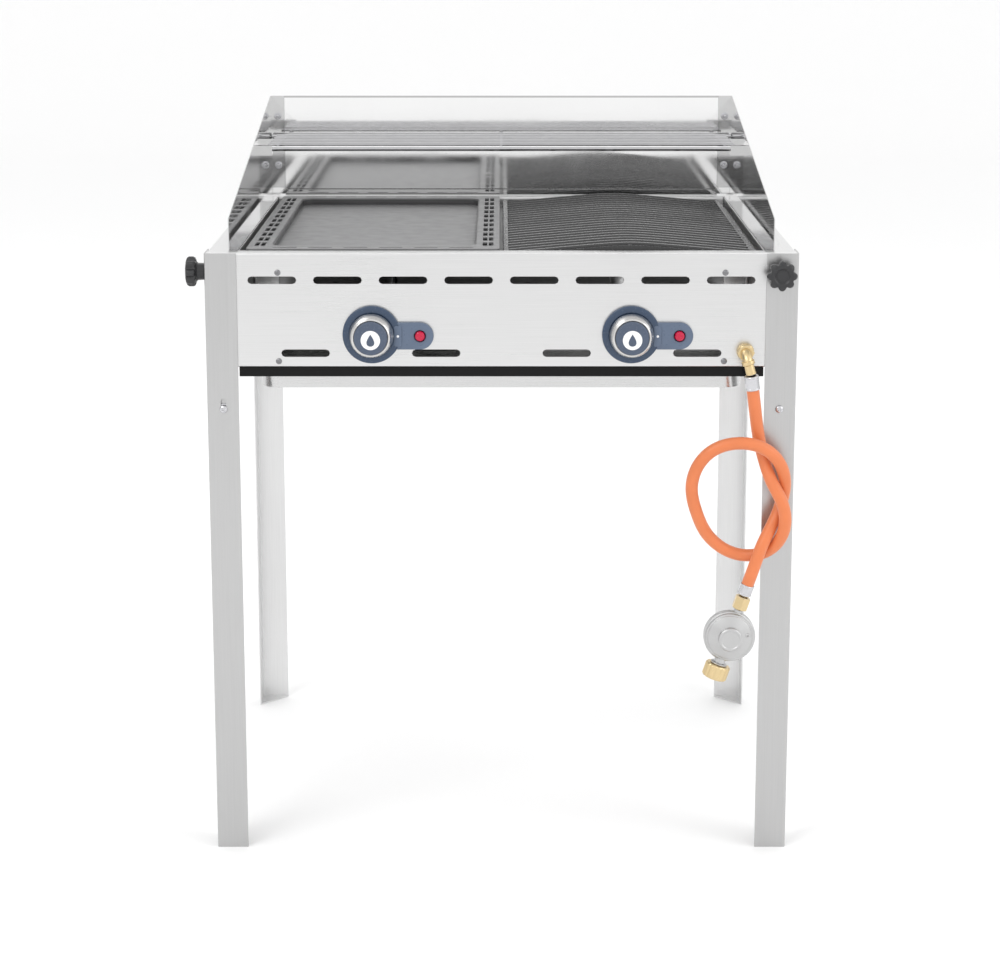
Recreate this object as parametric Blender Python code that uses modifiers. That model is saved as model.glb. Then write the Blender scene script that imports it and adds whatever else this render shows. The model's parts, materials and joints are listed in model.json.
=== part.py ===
"""Free-standing two-burner gas grill: griddle and grate, windshield, warming rack and folding legs.

Sizes are in millimetres and are turned into metres as each point is placed. x is to the right,
depth runs back from the front faces of the legs, and z is the height above the floor.
"""
import math

import bmesh
import bpy
import numpy as np
from mathutils import Matrix, Vector

MM = 0.001
GAP = 0.3  # clearance between touching pieces
SHARP_ANGLE = 38.0  # degrees

# Driving sizes
WIDTH = 650.0
DEPTH = 540.0
BODY_TOP = 686.5
BODY_BOTTOM = 560.0
SHEET = 1.2
BEND = 2.5

LEG_FACE = 35.0
LEG_SHEET = 1.5
PIVOT_X = 307.0
PIVOT_Z = 513.0
PIVOT_PLAY = 9.0
SHANK = 2.6
BRACKET_HALF = 14.7

STAR_Z = 664.0
STAR_FACE_X = 305.0
STAR_RADIUS = 16.6
STAR_REACH = 21.5
STUD = 3.0

PLATE_TOP = 688.0
LEDGE_TOP = 675.2
PLATE_FRONT = 26.0
PLATE_BACK = 514.0
PLATE_INNER = 2.0
PLATE_OUTER = 282.0
RIM_SIDE = 26.0
RIM_END = 25.0
RIDGE_RISE = 11.0

CONTROL_X = 142.5
CONTROL_Z = 596.7
PANEL_FACE = LEG_SHEET + GAP
BEZEL_FACE = -3.2
CONTROL_FRONT = -29.2
IGNITER_OFFSET = 53.0
IGNITER_Z = 595.3

INLET_X = 268.0
INLET_Z = 578.0
MANIFOLD_DEPTH = 37.0
MANIFOLD_RADIUS = 6.0

SHIELD_X = 298.5
SHIELD_SHEET = 1.0
SHIELD_BOTTOM = BODY_TOP + GAP
SHIELD_FRONT_Z = 723.0
SHIELD_TOP = 816.0
SHIELD_BACK = 533.3
SHIELD_HEM = 687.8
BOLT_X = 289.5
BOLT_HEIGHTS = (726.5, 790.0)

RACK_Z = 765.0
RACK_FRONT = 357.0
RACK_BACK = 519.0
RACK_WIRES = 7

TRAY_FLOOR = 534.5
FRAME_BOTTOM = 549.0
FRAME_SHEET = 1.5

HOSE_RADIUS = 7.0
FERRULE_RADIUS = 7.8
REGULATOR_CENTRE = Vector((253.2, -33.0, 262.9))
REGULATOR_AXIS = Vector((0.32, 0.0, 0.947)).normalized()

# The control knobs stand out further in front than the star knobs do behind
DEPTH_ORIGIN = (CONTROL_FRONT + DEPTH + STAR_REACH) / 2

SIDES = {"left": -1, "right": 1}
CORNERS = {
    "front_left": (-1, -1),
    "front_right": (1, -1),
    "rear_left": (-1, 1),
    "rear_right": (1, 1),
}

# Route of the gas hose from the upper ferrule to the lower one: a loose overhand knot
HOSE_ROUTE = [
    (275, -22, 540), (279, -19, 511), (284, -16, 481), (290, -18, 458), (297.5, -28, 437),
    (308, -36, 416), (312, -35.5, 390), (305, -29, 368.5), (293.5, -23.5, 357), (278, -18, 351),
    (256, -13.5, 353), (230.5, -14.5, 371.5), (216, -24, 400), (209.5, -27, 428), (216, -30, 456),
    (234, -33, 475), (258, -35, 482), (283, -34.5, 478), (303, -30, 462), (312, -24, 438),
    (310, -20, 414), (301, -24, 391), (288, -34, 367.5), (279, -35.5, 342), (272.5, -33, 321.5),
]
HOSE_POINTS = 44


def clear_scene():
    for obj in list(bpy.data.objects):
        bpy.data.objects.remove(obj, do_unlink=True)


def new_collection(name):
    collection = bpy.data.collections.new(name)
    bpy.context.scene.collection.children.link(collection)
    return collection


clear_scene()
PARTS = new_collection("gas_grill")
CUTTERS = new_collection("cutters")


# Materials: colour, metallic, roughness
def material(name, colour, metallic, roughness):
    mat = bpy.data.materials.new(name)
    mat.use_nodes = True
    shader = mat.node_tree.nodes["Principled BSDF"]
    shader.inputs["Base Color"].default_value = (*colour, 1.0)
    shader.inputs["Metallic"].default_value = metallic
    shader.inputs["Roughness"].default_value = roughness
    return mat


STAINLESS = material("stainless", (0.72, 0.72, 0.71), 1.0, 0.32)
MIRROR = material("polished_stainless", (0.8, 0.8, 0.8), 1.0, 0.06)
CHROME = material("chrome_wire", (0.75, 0.75, 0.75), 1.0, 0.12)
SATIN = material("satin_chrome", (0.68, 0.68, 0.67), 1.0, 0.25)
ZINC = material("zinc_steel", (0.6, 0.6, 0.6), 1.0, 0.35)
ENAMEL = material("grey_enamel", (0.1, 0.1, 0.105), 0.4, 0.35)
BLACK_ENAMEL = material("black_enamel", (0.03, 0.03, 0.032), 0.2, 0.25)
BRASS = material("brass", (0.72, 0.55, 0.28), 1.0, 0.3)
BLUE = material("slate_blue_plastic", (0.09, 0.13, 0.19), 0.0, 0.35)
RED = material("red_plastic", (0.75, 0.01, 0.06), 0.0, 0.15)
BLACK = material("black_plastic", (0.02, 0.02, 0.022), 0.0, 0.4)
WHITE = material("white_ceramic", (0.85, 0.83, 0.8), 0.0, 0.3)
RUBBER = material("orange_rubber", (0.85, 0.25, 0.09), 0.0, 0.5)
ALLOY = material("cast_alloy", (0.62, 0.62, 0.61), 1.0, 0.4)


# Placing and making solids
def place(x, depth, z):
    return Vector((x * MM, (depth - DEPTH_ORIGIN) * MM, z * MM))


def add_object(name, data, mat, matrix=None):
    obj = bpy.data.objects.new(name, data)
    if mat is not None:
        data.materials.append(mat)
    PARTS.objects.link(obj)
    if matrix is not None:
        obj.matrix_world = matrix
    return obj


def mesh_from(bm, name):
    mesh = bpy.data.meshes.new(name)
    bm.to_mesh(mesh)
    bm.free()
    return mesh


def block(name, low, high, mat):
    """Box between two corners."""
    a = place(*low)
    b = place(*high)
    bm = bmesh.new()
    bmesh.ops.create_cube(bm, size=1.0)
    bmesh.ops.scale(bm, vec=b - a, verts=bm.verts)
    bmesh.ops.translate(bm, vec=(a + b) / 2, verts=bm.verts)
    return add_object(name, mesh_from(bm, name), mat)


def set_origin(obj, point):
    """Put a mesh object's origin on a point, such as its joint's axis, without moving its shape."""
    target = Matrix.Translation(place(*point))
    obj.data.transform(target.inverted() @ obj.matrix_world)
    obj.matrix_world = target


def shade_round_faces():
    """Apply the modifiers, and shade smooth wherever neighbouring faces turn only a little."""
    bpy.context.view_layer.update()
    depsgraph = bpy.context.evaluated_depsgraph_get()
    solids = [obj for obj in PARTS.objects if obj.type == "MESH"]
    meshes = [bpy.data.meshes.new_from_object(obj.evaluated_get(depsgraph)) for obj in solids]
    for obj, mesh in zip(solids, meshes):
        obj.modifiers.clear()
        obj.data = mesh
        mesh.shade_smooth()
        mesh.set_sharp_from_angle(angle=math.radians(SHARP_ANGLE))


def mesh_from_curve(obj, mat):
    """Replace a curve object by a welded mesh that a Boolean can use."""
    bpy.context.view_layer.update()
    depsgraph = bpy.context.evaluated_depsgraph_get()
    mesh = bpy.data.meshes.new_from_object(obj.evaluated_get(depsgraph))
    bm = bmesh.new()
    bm.from_mesh(mesh)
    bmesh.ops.remove_doubles(bm, verts=bm.verts, dist=1e-6)
    bm.to_mesh(mesh)
    bm.free()
    mesh.materials.clear()
    name = obj.name
    matrix = obj.matrix_world.copy()
    bpy.data.objects.remove(obj, do_unlink=True)
    return add_object(name, mesh, mat, matrix)


def flat_solid(name, outlines, matrix, thickness, mat):
    """Flat outlines (the first is outside, the rest are holes) with an even thickness, as a mesh."""
    curve = bpy.data.curves.new(name, "CURVE")
    curve.dimensions = "2D"
    curve.fill_mode = "BOTH"
    curve.extrude = thickness * MM / 2
    for outline in outlines:
        spline = curve.splines.new("POLY")
        spline.points.add(len(outline) - 1)
        for point, (a, b) in zip(spline.points, outline):
            point.co = (a * MM, b * MM, 0.0, 1.0)
        spline.use_cyclic_u = True
    return mesh_from_curve(add_object(name, curve, None, matrix), mat)


AXIS_TURNS = {
    "X": Matrix(((0, 0, 1, 0), (1, 0, 0, 0), (0, 1, 0, 0), (0, 0, 0, 1))),
    "Y": Matrix(((1, 0, 0, 0), (0, 0, -1, 0), (0, 1, 0, 0), (0, 0, 0, 1))),
    "Z": Matrix.Identity(4),
}


def plate(name, outlines, axis, start, end, mat):
    """Flat solid whose outline lies in (depth, z), (x, z) or (x, depth), square to the axis."""
    middle = (start + end) / 2
    centre = {"X": (middle, 0, 0), "Y": (0, middle, 0), "Z": (0, 0, middle)}[axis]
    matrix = Matrix.Translation(place(*centre)) @ AXIS_TURNS[axis]
    return flat_solid(name, outlines, matrix, abs(end - start), mat)


def round_path(points, radius, steps=3):
    """Round the inner corners of a path of points with arcs."""
    path = [Vector(points[0])]
    for before, corner, after in zip(points, points[1:], points[2:]):
        corner = Vector(corner)
        first = (Vector(before) - corner).normalized()
        second = (Vector(after) - corner).normalized()
        half = first.angle(second) / 2
        reach = min(radius / math.tan(half), radius)
        size = reach * math.tan(half)
        centre = corner + (first + second).normalized() * (size / math.sin(half))
        a = corner + first * reach - centre
        b = corner + second * reach - centre
        sweep = a.angle(b)
        for i in range(steps + 1):
            t = i / steps
            part = (math.sin((1 - t) * sweep) * a + math.sin(t * sweep) * b) / math.sin(sweep)
            path.append(centre + part)
    path.append(Vector(points[-1]))
    return path


def folded_sheet(name, path, axis, start, end, mat, thickness=SHEET, bend=BEND):
    """Sheet metal: a bent path through the middle of the sheet, carried straight along an axis."""
    to_point = {
        "X": lambda s, p: place(s, p[0], p[1]),
        "Y": lambda s, p: place(p[0], s, p[1]),
        "Z": lambda s, p: place(p[0], p[1], s),
    }[axis]
    bm = bmesh.new()
    verts = [bm.verts.new(to_point(start, p)) for p in round_path(path, bend)]
    edges = [bm.edges.new(pair) for pair in zip(verts, verts[1:])]
    swept = bmesh.ops.extrude_edge_only(bm, edges=edges)
    moved = [v for v in swept["geom"] if isinstance(v, bmesh.types.BMVert)]
    shift = to_point(end, (0, 0)) - to_point(start, (0, 0))
    bmesh.ops.translate(bm, vec=shift, verts=moved)
    obj = add_object(name, mesh_from(bm, name), mat)
    solid = obj.modifiers.new("thickness", "SOLIDIFY")
    solid.thickness = thickness * MM
    solid.offset = 0.0
    solid.use_even_offset = True
    return obj


def turned(name, profile, base, direction, mat, steps=24):
    """Turned solid: (radius, height) points down its outer side, top to bottom, about a direction."""
    bm = bmesh.new()
    verts = [bm.verts.new((r * MM, 0.0, h * MM)) for r, h in profile]
    for pair in zip(verts, verts[1:]):
        bm.edges.new(pair)
    turn = Vector(direction).to_track_quat("Z", "Y").to_matrix().to_4x4()
    matrix = Matrix.Translation(place(*base)) @ turn
    obj = add_object(name, mesh_from(bm, name), mat, matrix)
    screw = obj.modifiers.new("turn", "SCREW")
    screw.angle = math.tau
    screw.steps = steps
    screw.render_steps = steps
    screw.use_merge_vertices = True
    screw.merge_threshold = 1e-6
    screw.use_smooth_shade = False
    return obj


def stepped(*rings):
    """Profile of stacked cylinders, each (radius, from, to), listed from the top down."""
    profile = [(0.0, rings[0][1])]
    for radius, top, bottom in rings:
        profile += [(radius, top), (radius, bottom)]
    profile.append((0.0, rings[-1][2]))
    return profile


def tube(name, points, radius, mat, resolution=2):
    """Round bar or pipe along points, as a curve object."""
    curve = bpy.data.curves.new(name, "CURVE")
    curve.dimensions = "3D"
    curve.bevel_depth = radius * MM
    curve.bevel_resolution = resolution
    curve.use_fill_caps = True
    curve.render_resolution_u = 0
    spline = curve.splines.new("POLY")
    spline.points.add(len(points) - 1)
    for target, point in zip(spline.points, points):
        target.co = (*place(*point), 1.0)
    return add_object(name, curve, mat)


def as_cutter(obj):
    PARTS.objects.unlink(obj)
    CUTTERS.objects.link(obj)
    obj.hide_render = True
    obj.display_type = "WIRE"


def combine(obj, other, operation):
    as_cutter(other)
    modifier = obj.modifiers.new(other.name, "BOOLEAN")
    modifier.operation = operation
    modifier.object = other
    modifier.solver = "EXACT"


def cut(obj, *cutters):
    for cutter in cutters:
        combine(obj, cutter, "DIFFERENCE")


def join(obj, *others):
    for other in others:
        combine(obj, other, "UNION")


def group(name, objects, mat=None):
    """Put several solids that don't touch into one mesh, for a single cut or join."""
    bm = bmesh.new()
    for obj in objects:
        copy = obj.data.copy()
        copy.transform(obj.matrix_world)
        bm.from_mesh(copy)
        bpy.data.meshes.remove(copy)
        bpy.data.objects.remove(obj, do_unlink=True)
    return add_object(name, mesh_from(bm, name), mat)


# Outlines
def rectangle(a0, b0, a1, b1):
    return [(a0, b0), (a1, b0), (a1, b1), (a0, b1)]


def rounded_rectangle(a0, b0, a1, b1, radius, steps=4):
    outline = []
    centres = [(a1 - radius, b0 + radius), (a1 - radius, b1 - radius)]
    centres += [(a0 + radius, b1 - radius), (a0 + radius, b0 + radius)]
    for quarter, (a, b) in enumerate(centres):
        for i in range(steps + 1):
            angle = math.radians(90.0) * (quarter - 1 + i / steps)
            outline.append((a + radius * math.cos(angle), b + radius * math.sin(angle)))
    return outline


def slot(a, b, length, width, steps=4):
    """Straight slot with round ends, its length along the first direction."""
    radius = width / 2
    outline = []
    for end in (1, -1):
        centre = a + end * (length / 2 - radius)
        for i in range(steps + 1):
            angle = math.pi * (i / steps - 0.5) + (0.0 if end > 0 else math.pi)
            outline.append((centre + radius * math.cos(angle), b + radius * math.sin(angle)))
    return outline


def disc(a, b, radius, steps=16):
    angles = [math.tau * i / steps for i in range(steps)]
    return [(a + radius * math.cos(t), b + radius * math.sin(t)) for t in angles]


def lobed(radius, dip, lobes, steps):
    outline = []
    for i in range(steps):
        angle = math.tau * i / steps
        r = radius - dip * (0.5 - 0.5 * math.cos(lobes * angle)) ** 2
        outline.append((r * math.cos(angle), r * math.sin(angle)))
    return outline


def smooth_curve(route, count):
    """Evenly spaced points on a natural cubic spline through the route."""
    points = np.array(route, dtype=float)
    knots = np.concatenate([[0.0], np.cumsum(np.linalg.norm(np.diff(points, axis=0), axis=1))])
    spans = np.diff(knots)
    size = len(knots)
    system = np.eye(size)
    bends = np.zeros((size, 3))
    for i in range(1, size - 1):
        system[i, i - 1 : i + 2] = spans[i - 1], 2 * (spans[i - 1] + spans[i]), spans[i]
        rise = (points[i + 1] - points[i]) / spans[i]
        bends[i] = 6 * (rise - (points[i] - points[i - 1]) / spans[i - 1])
    second = np.linalg.solve(system, bends)
    where = np.linspace(0.0, knots[-1], count)
    k = np.clip(np.searchsorted(knots, where) - 1, 0, size - 2)
    a = (knots[k + 1] - where)[:, None]
    b = (where - knots[k])[:, None]
    h = spans[k][:, None]
    curve = second[k] * a**3 / (6 * h) + second[k + 1] * b**3 / (6 * h)
    curve += (points[k] / h - second[k] * h / 6) * a
    curve += (points[k + 1] / h - second[k + 1] * h / 6) * b
    return [tuple(p) for p in curve]


# Housing
def front_and_rear_panels():
    """Folded panels: bottom return, wall, top flange, lip and the ledge that the plates rest on."""
    wall = PANEL_FACE + SHEET / 2
    top = BODY_TOP - SHEET / 2
    ledge = LEDGE_TOP - SHEET / 2
    path = [(16.0, BODY_BOTTOM + SHEET / 2), (wall, BODY_BOTTOM + SHEET / 2), (wall, top)]
    path += [(24.0, top), (24.0, ledge), (33.0, ledge)]
    half = WIDTH / 2 - LEG_SHEET - GAP
    for name, rear in (("front_panel", False), ("rear_panel", True)):
        points = [(DEPTH - d, z) for d, z in path] if rear else path
        panel = folded_sheet(name, points, "X", -half, half, STAINLESS, bend=1.6)
        for side in SIDES.values():
            x = sorted((side * 288.0, side * 330.0))
            near, far = (DEPTH - 40.0, DEPTH - 22.5) if rear else (22.5, 40.0)
            lip = block("lip_end", (x[0], near, 665.0), (x[1], far, 695.0), None)
            near, far = (DEPTH - 30.0, DEPTH - 3.1) if rear else (3.1, 30.0)
            foot = block("return_end", (x[0], near, 555.0), (x[1], far, 562.5), None)
            cut(panel, lip, foot)
        if rear:
            cut_star_hole(panel, "rear_left")
        else:
            cut_front_openings(panel)
            cut_star_hole(panel, "front_right")


def cut_front_openings(panel):
    """Two rows of air slots, and the holes for the valve stems, igniters and gas inlet."""
    cutters = []
    for i in range(8):
        cutters.append(slot((i - 3.5) * 71.8, 656.6, 53.5, 8.3))
    for x in (-215.5, -71.8, 71.8, 215.5):
        cutters.append(slot(x, 575.5, 53.5, 8.3))
    for side in SIDES.values():
        cutters.append(disc(side * CONTROL_X, CONTROL_Z, 10.0))
        cutters.append(disc(side * CONTROL_X + IGNITER_OFFSET, IGNITER_Z, 7.3))
    cutters.append(disc(INLET_X, INLET_Z, 6.5))
    solids = [plate(f"opening_{i}", [o], "Y", -2.0, 10.0, None) for i, o in enumerate(cutters)]
    cut(panel, group("front_openings", solids))


def side_panels():
    """Folded sides, trimmed at the corners where the front and rear panels cross them."""
    wall = WIDTH / 2 - LEG_SHEET - GAP - SHEET / 2
    top = BODY_TOP - SHEET / 2
    foot = BODY_BOTTOM + SHEET / 2
    ledge = LEDGE_TOP - SHEET / 2
    path = [(305.0, foot), (wall, foot), (wall, top), (289.6, top), (289.6, ledge)]
    path.append((272.0, ledge))
    ends = PANEL_FACE + SHEET + GAP
    for name, side in SIDES.items():
        points = [(side * x, z) for x, z in path]
        panel = folded_sheet(
            f"side_panel_{name}", points, "Y", ends, DEPTH - ends, STAINLESS, bend=1.6
        )
        trims = [
            ((270.0, 321.9), (-1.0, 22.8), (665.0, 700.0)),
            ((270.0, 330.0), (-1.0, 22.8), (685.0, 700.0)),
            ((260.0, 288.9), (-1.0, 34.0), (665.0, 700.0)),
            ((280.0, 321.9), (-1.0, 40.0), (550.0, 562.5)),
        ]
        for i, (xs, depths, zs) in enumerate(trims):
            for rear in (False, True):
                x = sorted(side * v for v in xs)
                d = [DEPTH - v for v in reversed(depths)] if rear else depths
                cut(panel, block(f"trim_{i}", (x[0], d[0], zs[0]), (x[1], d[1], zs[1]), None))
        for corner, (sx, sy) in CORNERS.items():
            if sx == side and sx * sy > 0:
                cut_star_hole(panel, corner)


def cut_star_hole(obj, corner):
    """Clearance for a star knob's stud: a round hole, or a slot where the stud leaves with the leg."""
    sx, sy = CORNERS[corner]
    if sx * sy > 0:
        depth = 18.0 if sy < 0 else DEPTH - 18.0
        outline = [(a, b) for b, a in slot(STAR_Z - 5.0, depth, 17.6, 7.4)]
        low, high = sorted((sx * 300.0, sx * 330.0))
        cut(obj, plate(f"stud_hole_{corner}", [outline], "X", low, high, None))
    else:
        outline = disc(sx * STAR_FACE_X, STAR_Z, STUD + 0.5)
        low, high = (-2.0, 14.0) if sy < 0 else (DEPTH - 14.0, DEPTH + 2.0)
        cut(obj, plate(f"stud_hole_{corner}", [outline], "Y", low, high, None))


def corner_brackets():
    """Inner angles that stand below the housing and carry the legs' pivots on round ends."""
    outer = WIDTH / 2 - LEG_SHEET - GAP - SHEET - GAP
    front = PANEL_FACE + SHEET + GAP
    for corner, (sx, sy) in CORNERS.items():
        def depth(value):
            return value if sy < 0 else DEPTH - value

        middle = front + LEG_SHEET / 2
        side = outer - LEG_SHEET / 2
        inner = PIVOT_X - BRACKET_HALF + 0.2
        path = [(sx * inner, depth(middle)), (sx * side, depth(middle)), (sx * side, depth(36.0))]
        name = f"corner_bracket_{corner}"
        low = PIVOT_Z - BRACKET_HALF
        bracket = folded_sheet(name, path, "Z", low, 683.0, STAINLESS, LEG_SHEET, 1.6)
        near, far = sorted((depth(-2.0), depth(12.0)))
        cut(bracket, plate("round_end", [below_half_round(sx * PIVOT_X)], "Y", near, far, None))
        near, far = sorted((depth(-2.0), depth(12.0)))
        hole = disc(sx * PIVOT_X, PIVOT_Z, SHANK + GAP)
        cut(bracket, plate("pivot_hole", [hole], "Y", near, far, None))
        side_low, side_high = sorted((sx * (outer - 3.0), sx * (outer + 1.0)))
        near, far = sorted((depth(front + 2.2), depth(40.0)))
        cut(bracket, block("heel", (side_low, near, 480.0), (side_high, far, 528.0), None))
        cut_star_hole(bracket, corner)


def below_half_round(x, steps=12):
    """Outline of what is cut away below a bracket's rounded end."""
    outline = [(x - 25.0, PIVOT_Z - 25.0), (x - 25.0, PIVOT_Z)]
    for i in range(steps + 1):
        angle = math.pi * (1 + i / steps)
        outline.append((x + BRACKET_HALF * math.cos(angle), PIVOT_Z + BRACKET_HALF * math.sin(angle)))
    return outline + [(x + 25.0, PIVOT_Z), (x + 25.0, PIVOT_Z - 25.0)]


def centre_rail():
    ledge = LEDGE_TOP - SHEET / 2
    path = [(-13.0, 664.0), (-13.0, ledge), (13.0, ledge), (13.0, 664.0)]
    folded_sheet("centre_rail", path, "Y", 34.2, DEPTH - 34.2, STAINLESS, bend=1.6)


# Legs
def legs():
    """Angle legs with a foot plate, a pivot hole or slot, and a way past the star knob's stud."""
    outer = WIDTH / 2 - LEG_SHEET / 2
    for corner, (sx, sy) in CORNERS.items():
        def depth(value):
            return value if sy < 0 else DEPTH - value

        face = LEG_SHEET / 2
        inner = WIDTH / 2 - LEG_FACE
        path = [(sx * inner, depth(face)), (sx * outer, depth(face)), (sx * outer, depth(36.0))]
        leg = folded_sheet(f"leg_{corner}", path, "Z", 0.0, BODY_TOP, STAINLESS, LEG_SHEET, 1.2)
        corner_x = WIDTH / 2 - LEG_SHEET / 2
        gusset = [(corner_x, face), (inner + 1.0, face), (inner + 1.0, 3.5), (corner_x - 2.0, 34.0)]
        gusset.append((corner_x, 34.0))
        outline = [(sx * x, depth(d)) for x, d in gusset]
        join(leg, plate("gusset", [outline], "Z", 0.2, 0.2 + LEG_SHEET, None))
        near, far = sorted((depth(-2.0), depth(3.0)))
        if sx * sy > 0:
            length = 2 * (SHANK + GAP) + PIVOT_PLAY
            middle = PIVOT_Z + PIVOT_PLAY / 2
            pivot = [(b, a) for a, b in slot(middle, sx * PIVOT_X, length, 2 * (SHANK + GAP))]
            hole_depth = 18.0 if sy < 0 else DEPTH - 18.0
            low, high = sorted((sx * 318.0, sx * 330.0))
            hole = disc(hole_depth, STAR_Z, STUD + 0.4)
            stud = plate("stud_hole", [hole], "X", low, high, None)
        else:
            pivot = disc(sx * PIVOT_X, PIVOT_Z, SHANK + GAP)
            way = slot(sx * (STAR_FACE_X - 15.0), STAR_Z - 0.5, 30.0 + 8.4, 8.4)
            stud = plate("stud_way", [way], "Y", near, far, None)
        cut(leg, plate("pivot_hole", [pivot], "Y", near, far, None), stud)
        set_origin(leg, (sx * PIVOT_X, depth(0.0), PIVOT_Z))


def leg_pivots():
    """Screw head outside the leg, a washer between leg and bracket, and a nut inside."""
    washer = -(LEG_SHEET + GAP)
    bracket_front = -(PANEL_FACE + SHEET + GAP)
    nut = bracket_front - LEG_SHEET - GAP
    profile = [(0.0, 3.1), (3.0, 3.1), (4.4, 1.6), (4.4, GAP), (SHANK, GAP), (SHANK, washer)]
    profile += [(6.0, washer), (6.0, bracket_front + GAP), (SHANK, bracket_front + GAP)]
    profile += [(SHANK, nut), (4.6, nut), (4.6, nut - 5.0), (0.0, nut - 5.0)]
    for corner, (sx, sy) in CORNERS.items():
        depth = 0.0 if sy < 0 else DEPTH
        base = (sx * PIVOT_X, depth, PIVOT_Z)
        turned(f"leg_pivot_screw_{corner}", profile, base, (0, sy, 0), ZINC, 10)


def star_knobs():
    """Eight-lobed hand knobs with a moulded hub and a threaded stud."""
    for corner, (sx, sy) in CORNERS.items():
        name = f"star_knob_{corner}"
        if sx * sy > 0:
            direction = Vector((sx, 0, 0))
            base = (sx * WIDTH / 2, 18.0 if sy < 0 else DEPTH - 18.0, STAR_Z)
        else:
            direction = Vector((0, sy, 0))
            base = (sx * STAR_FACE_X, 0.0 if sy < 0 else DEPTH, STAR_Z)
        knob = turned(
            name,
            stepped((13.5, STAR_REACH, 11.0), (9.5, 11.0, GAP), (STUD, GAP, -12.0)),
            base,
            direction,
            BLACK,
            16,
        )
        turn = direction.to_track_quat("Z", "Y").to_matrix().to_4x4()
        matrix = Matrix.Translation(place(*base) + direction * 15.6 * MM) @ turn
        head = flat_solid(f"head_{corner}", [lobed(STAR_RADIUS, 3.2, 8, 32)], matrix, 10.6, None)
        join(knob, head)


# Cooking plates
def griddle():
    """Griddle: a raised rim with drain slots round a sunk cooking area."""
    low = LEDGE_TOP + GAP
    outline = rounded_rectangle(
        -PLATE_OUTER, PLATE_FRONT, -PLATE_INNER, PLATE_BACK, 6.0, 2
    )
    solid = plate("griddle_plate", [outline], "Z", low, PLATE_TOP, ENAMEL)
    x0, x1 = -PLATE_OUTER + RIM_SIDE, -PLATE_INNER - RIM_SIDE
    recess = rounded_rectangle(x0, PLATE_FRONT + RIM_END, x1, PLATE_BACK - RIM_END, 16.0, 4)
    cut(solid, plate("recess", [recess], "Z", PLATE_TOP - 8.0, PLATE_TOP + 5.0, None))
    holes = []
    for column in (x0 - 16.4, x0 - 9.6, x1 + 9.6, x1 + 16.4):
        for row in range(11):
            depth = DEPTH / 2 + (row - 5) * 41.0
            holes.append(rectangle(column - 2.5, depth - 14.5, column + 2.5, depth + 14.5))
    for i in range(6):
        x = (x0 + x1) / 2 + (i - 2.5) * 39.0
        for depth in (PLATE_FRONT + 10.5, PLATE_BACK - 10.5):
            holes.append(rectangle(x - 13.5, depth - 2.4, x + 13.5, depth + 2.4))
    solids = [
        plate(f"hole_{i}", [h], "Z", low - 4.0, PLATE_TOP + 4.0, None)
        for i, h in enumerate(holes)
    ]
    cut(solid, group("griddle_holes", solids))
    set_origin(solid, (-(PLATE_INNER + PLATE_OUTER) / 2, DEPTH / 2, low))


def grate():
    """Grill grate: slats across a rectangular rim, rising to a rounded ridge in the middle."""
    low = LEDGE_TOP + GAP
    outer = rounded_rectangle(PLATE_INNER, PLATE_FRONT, PLATE_OUTER, PLATE_BACK, 6.0, 2)
    inner = rectangle(PLATE_INNER + 6.0, PLATE_FRONT + 6.0, PLATE_OUTER - 6.0, PLATE_BACK - 6.0)
    rim = plate("grill_grate", [outer], "Z", low, low + 8.0, BLACK_ENAMEL)
    cut(rim, plate("rim_inside", [inner], "Z", low - 5.0, low + 15.0, None))
    left = PLATE_INNER + 3.0
    right = PLATE_OUTER - 3.0
    count = 23
    first = PLATE_FRONT + 6.0
    pitch = (PLATE_BACK - first - 6.0) / count
    bm = bmesh.new()
    for i in range(count):
        depth = first + pitch * (i + 0.5)
        a = place(left, depth - 2.5, low + 1.5)
        b = place(right, depth + 2.5, low + 7.0)
        shape = Matrix.Translation((a + b) / 2) @ Matrix.Diagonal((*(b - a), 1.0))
        bmesh.ops.create_cube(bm, size=1.0, matrix=shape)
    lengthwise = [e for e in bm.edges if abs(e.verts[0].co.x - e.verts[1].co.x) > MM]
    bmesh.ops.subdivide_edges(bm, edges=lengthwise, cuts=5, use_grid_fill=True)
    half = (right - left) / 2
    for vert in bm.verts:
        off_centre = abs(vert.co.x / MM - left - half)
        vert.co.z += RIDGE_RISE * MM * ridge_height(off_centre / half)
    join(rim, add_object("slats", mesh_from(bm, "slats"), None))
    set_origin(rim, ((PLATE_INNER + PLATE_OUTER) / 2, DEPTH / 2, low))


def ridge_height(across):
    """Height of a slat, from 1 at its middle to 0 at its end: a roof with a rounded ridge."""
    soft = 0.16
    slope = math.sqrt(across**2 + soft**2)
    return (math.sqrt(1 + soft**2) - slope) / (math.sqrt(1 + soft**2) - soft)


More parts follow.
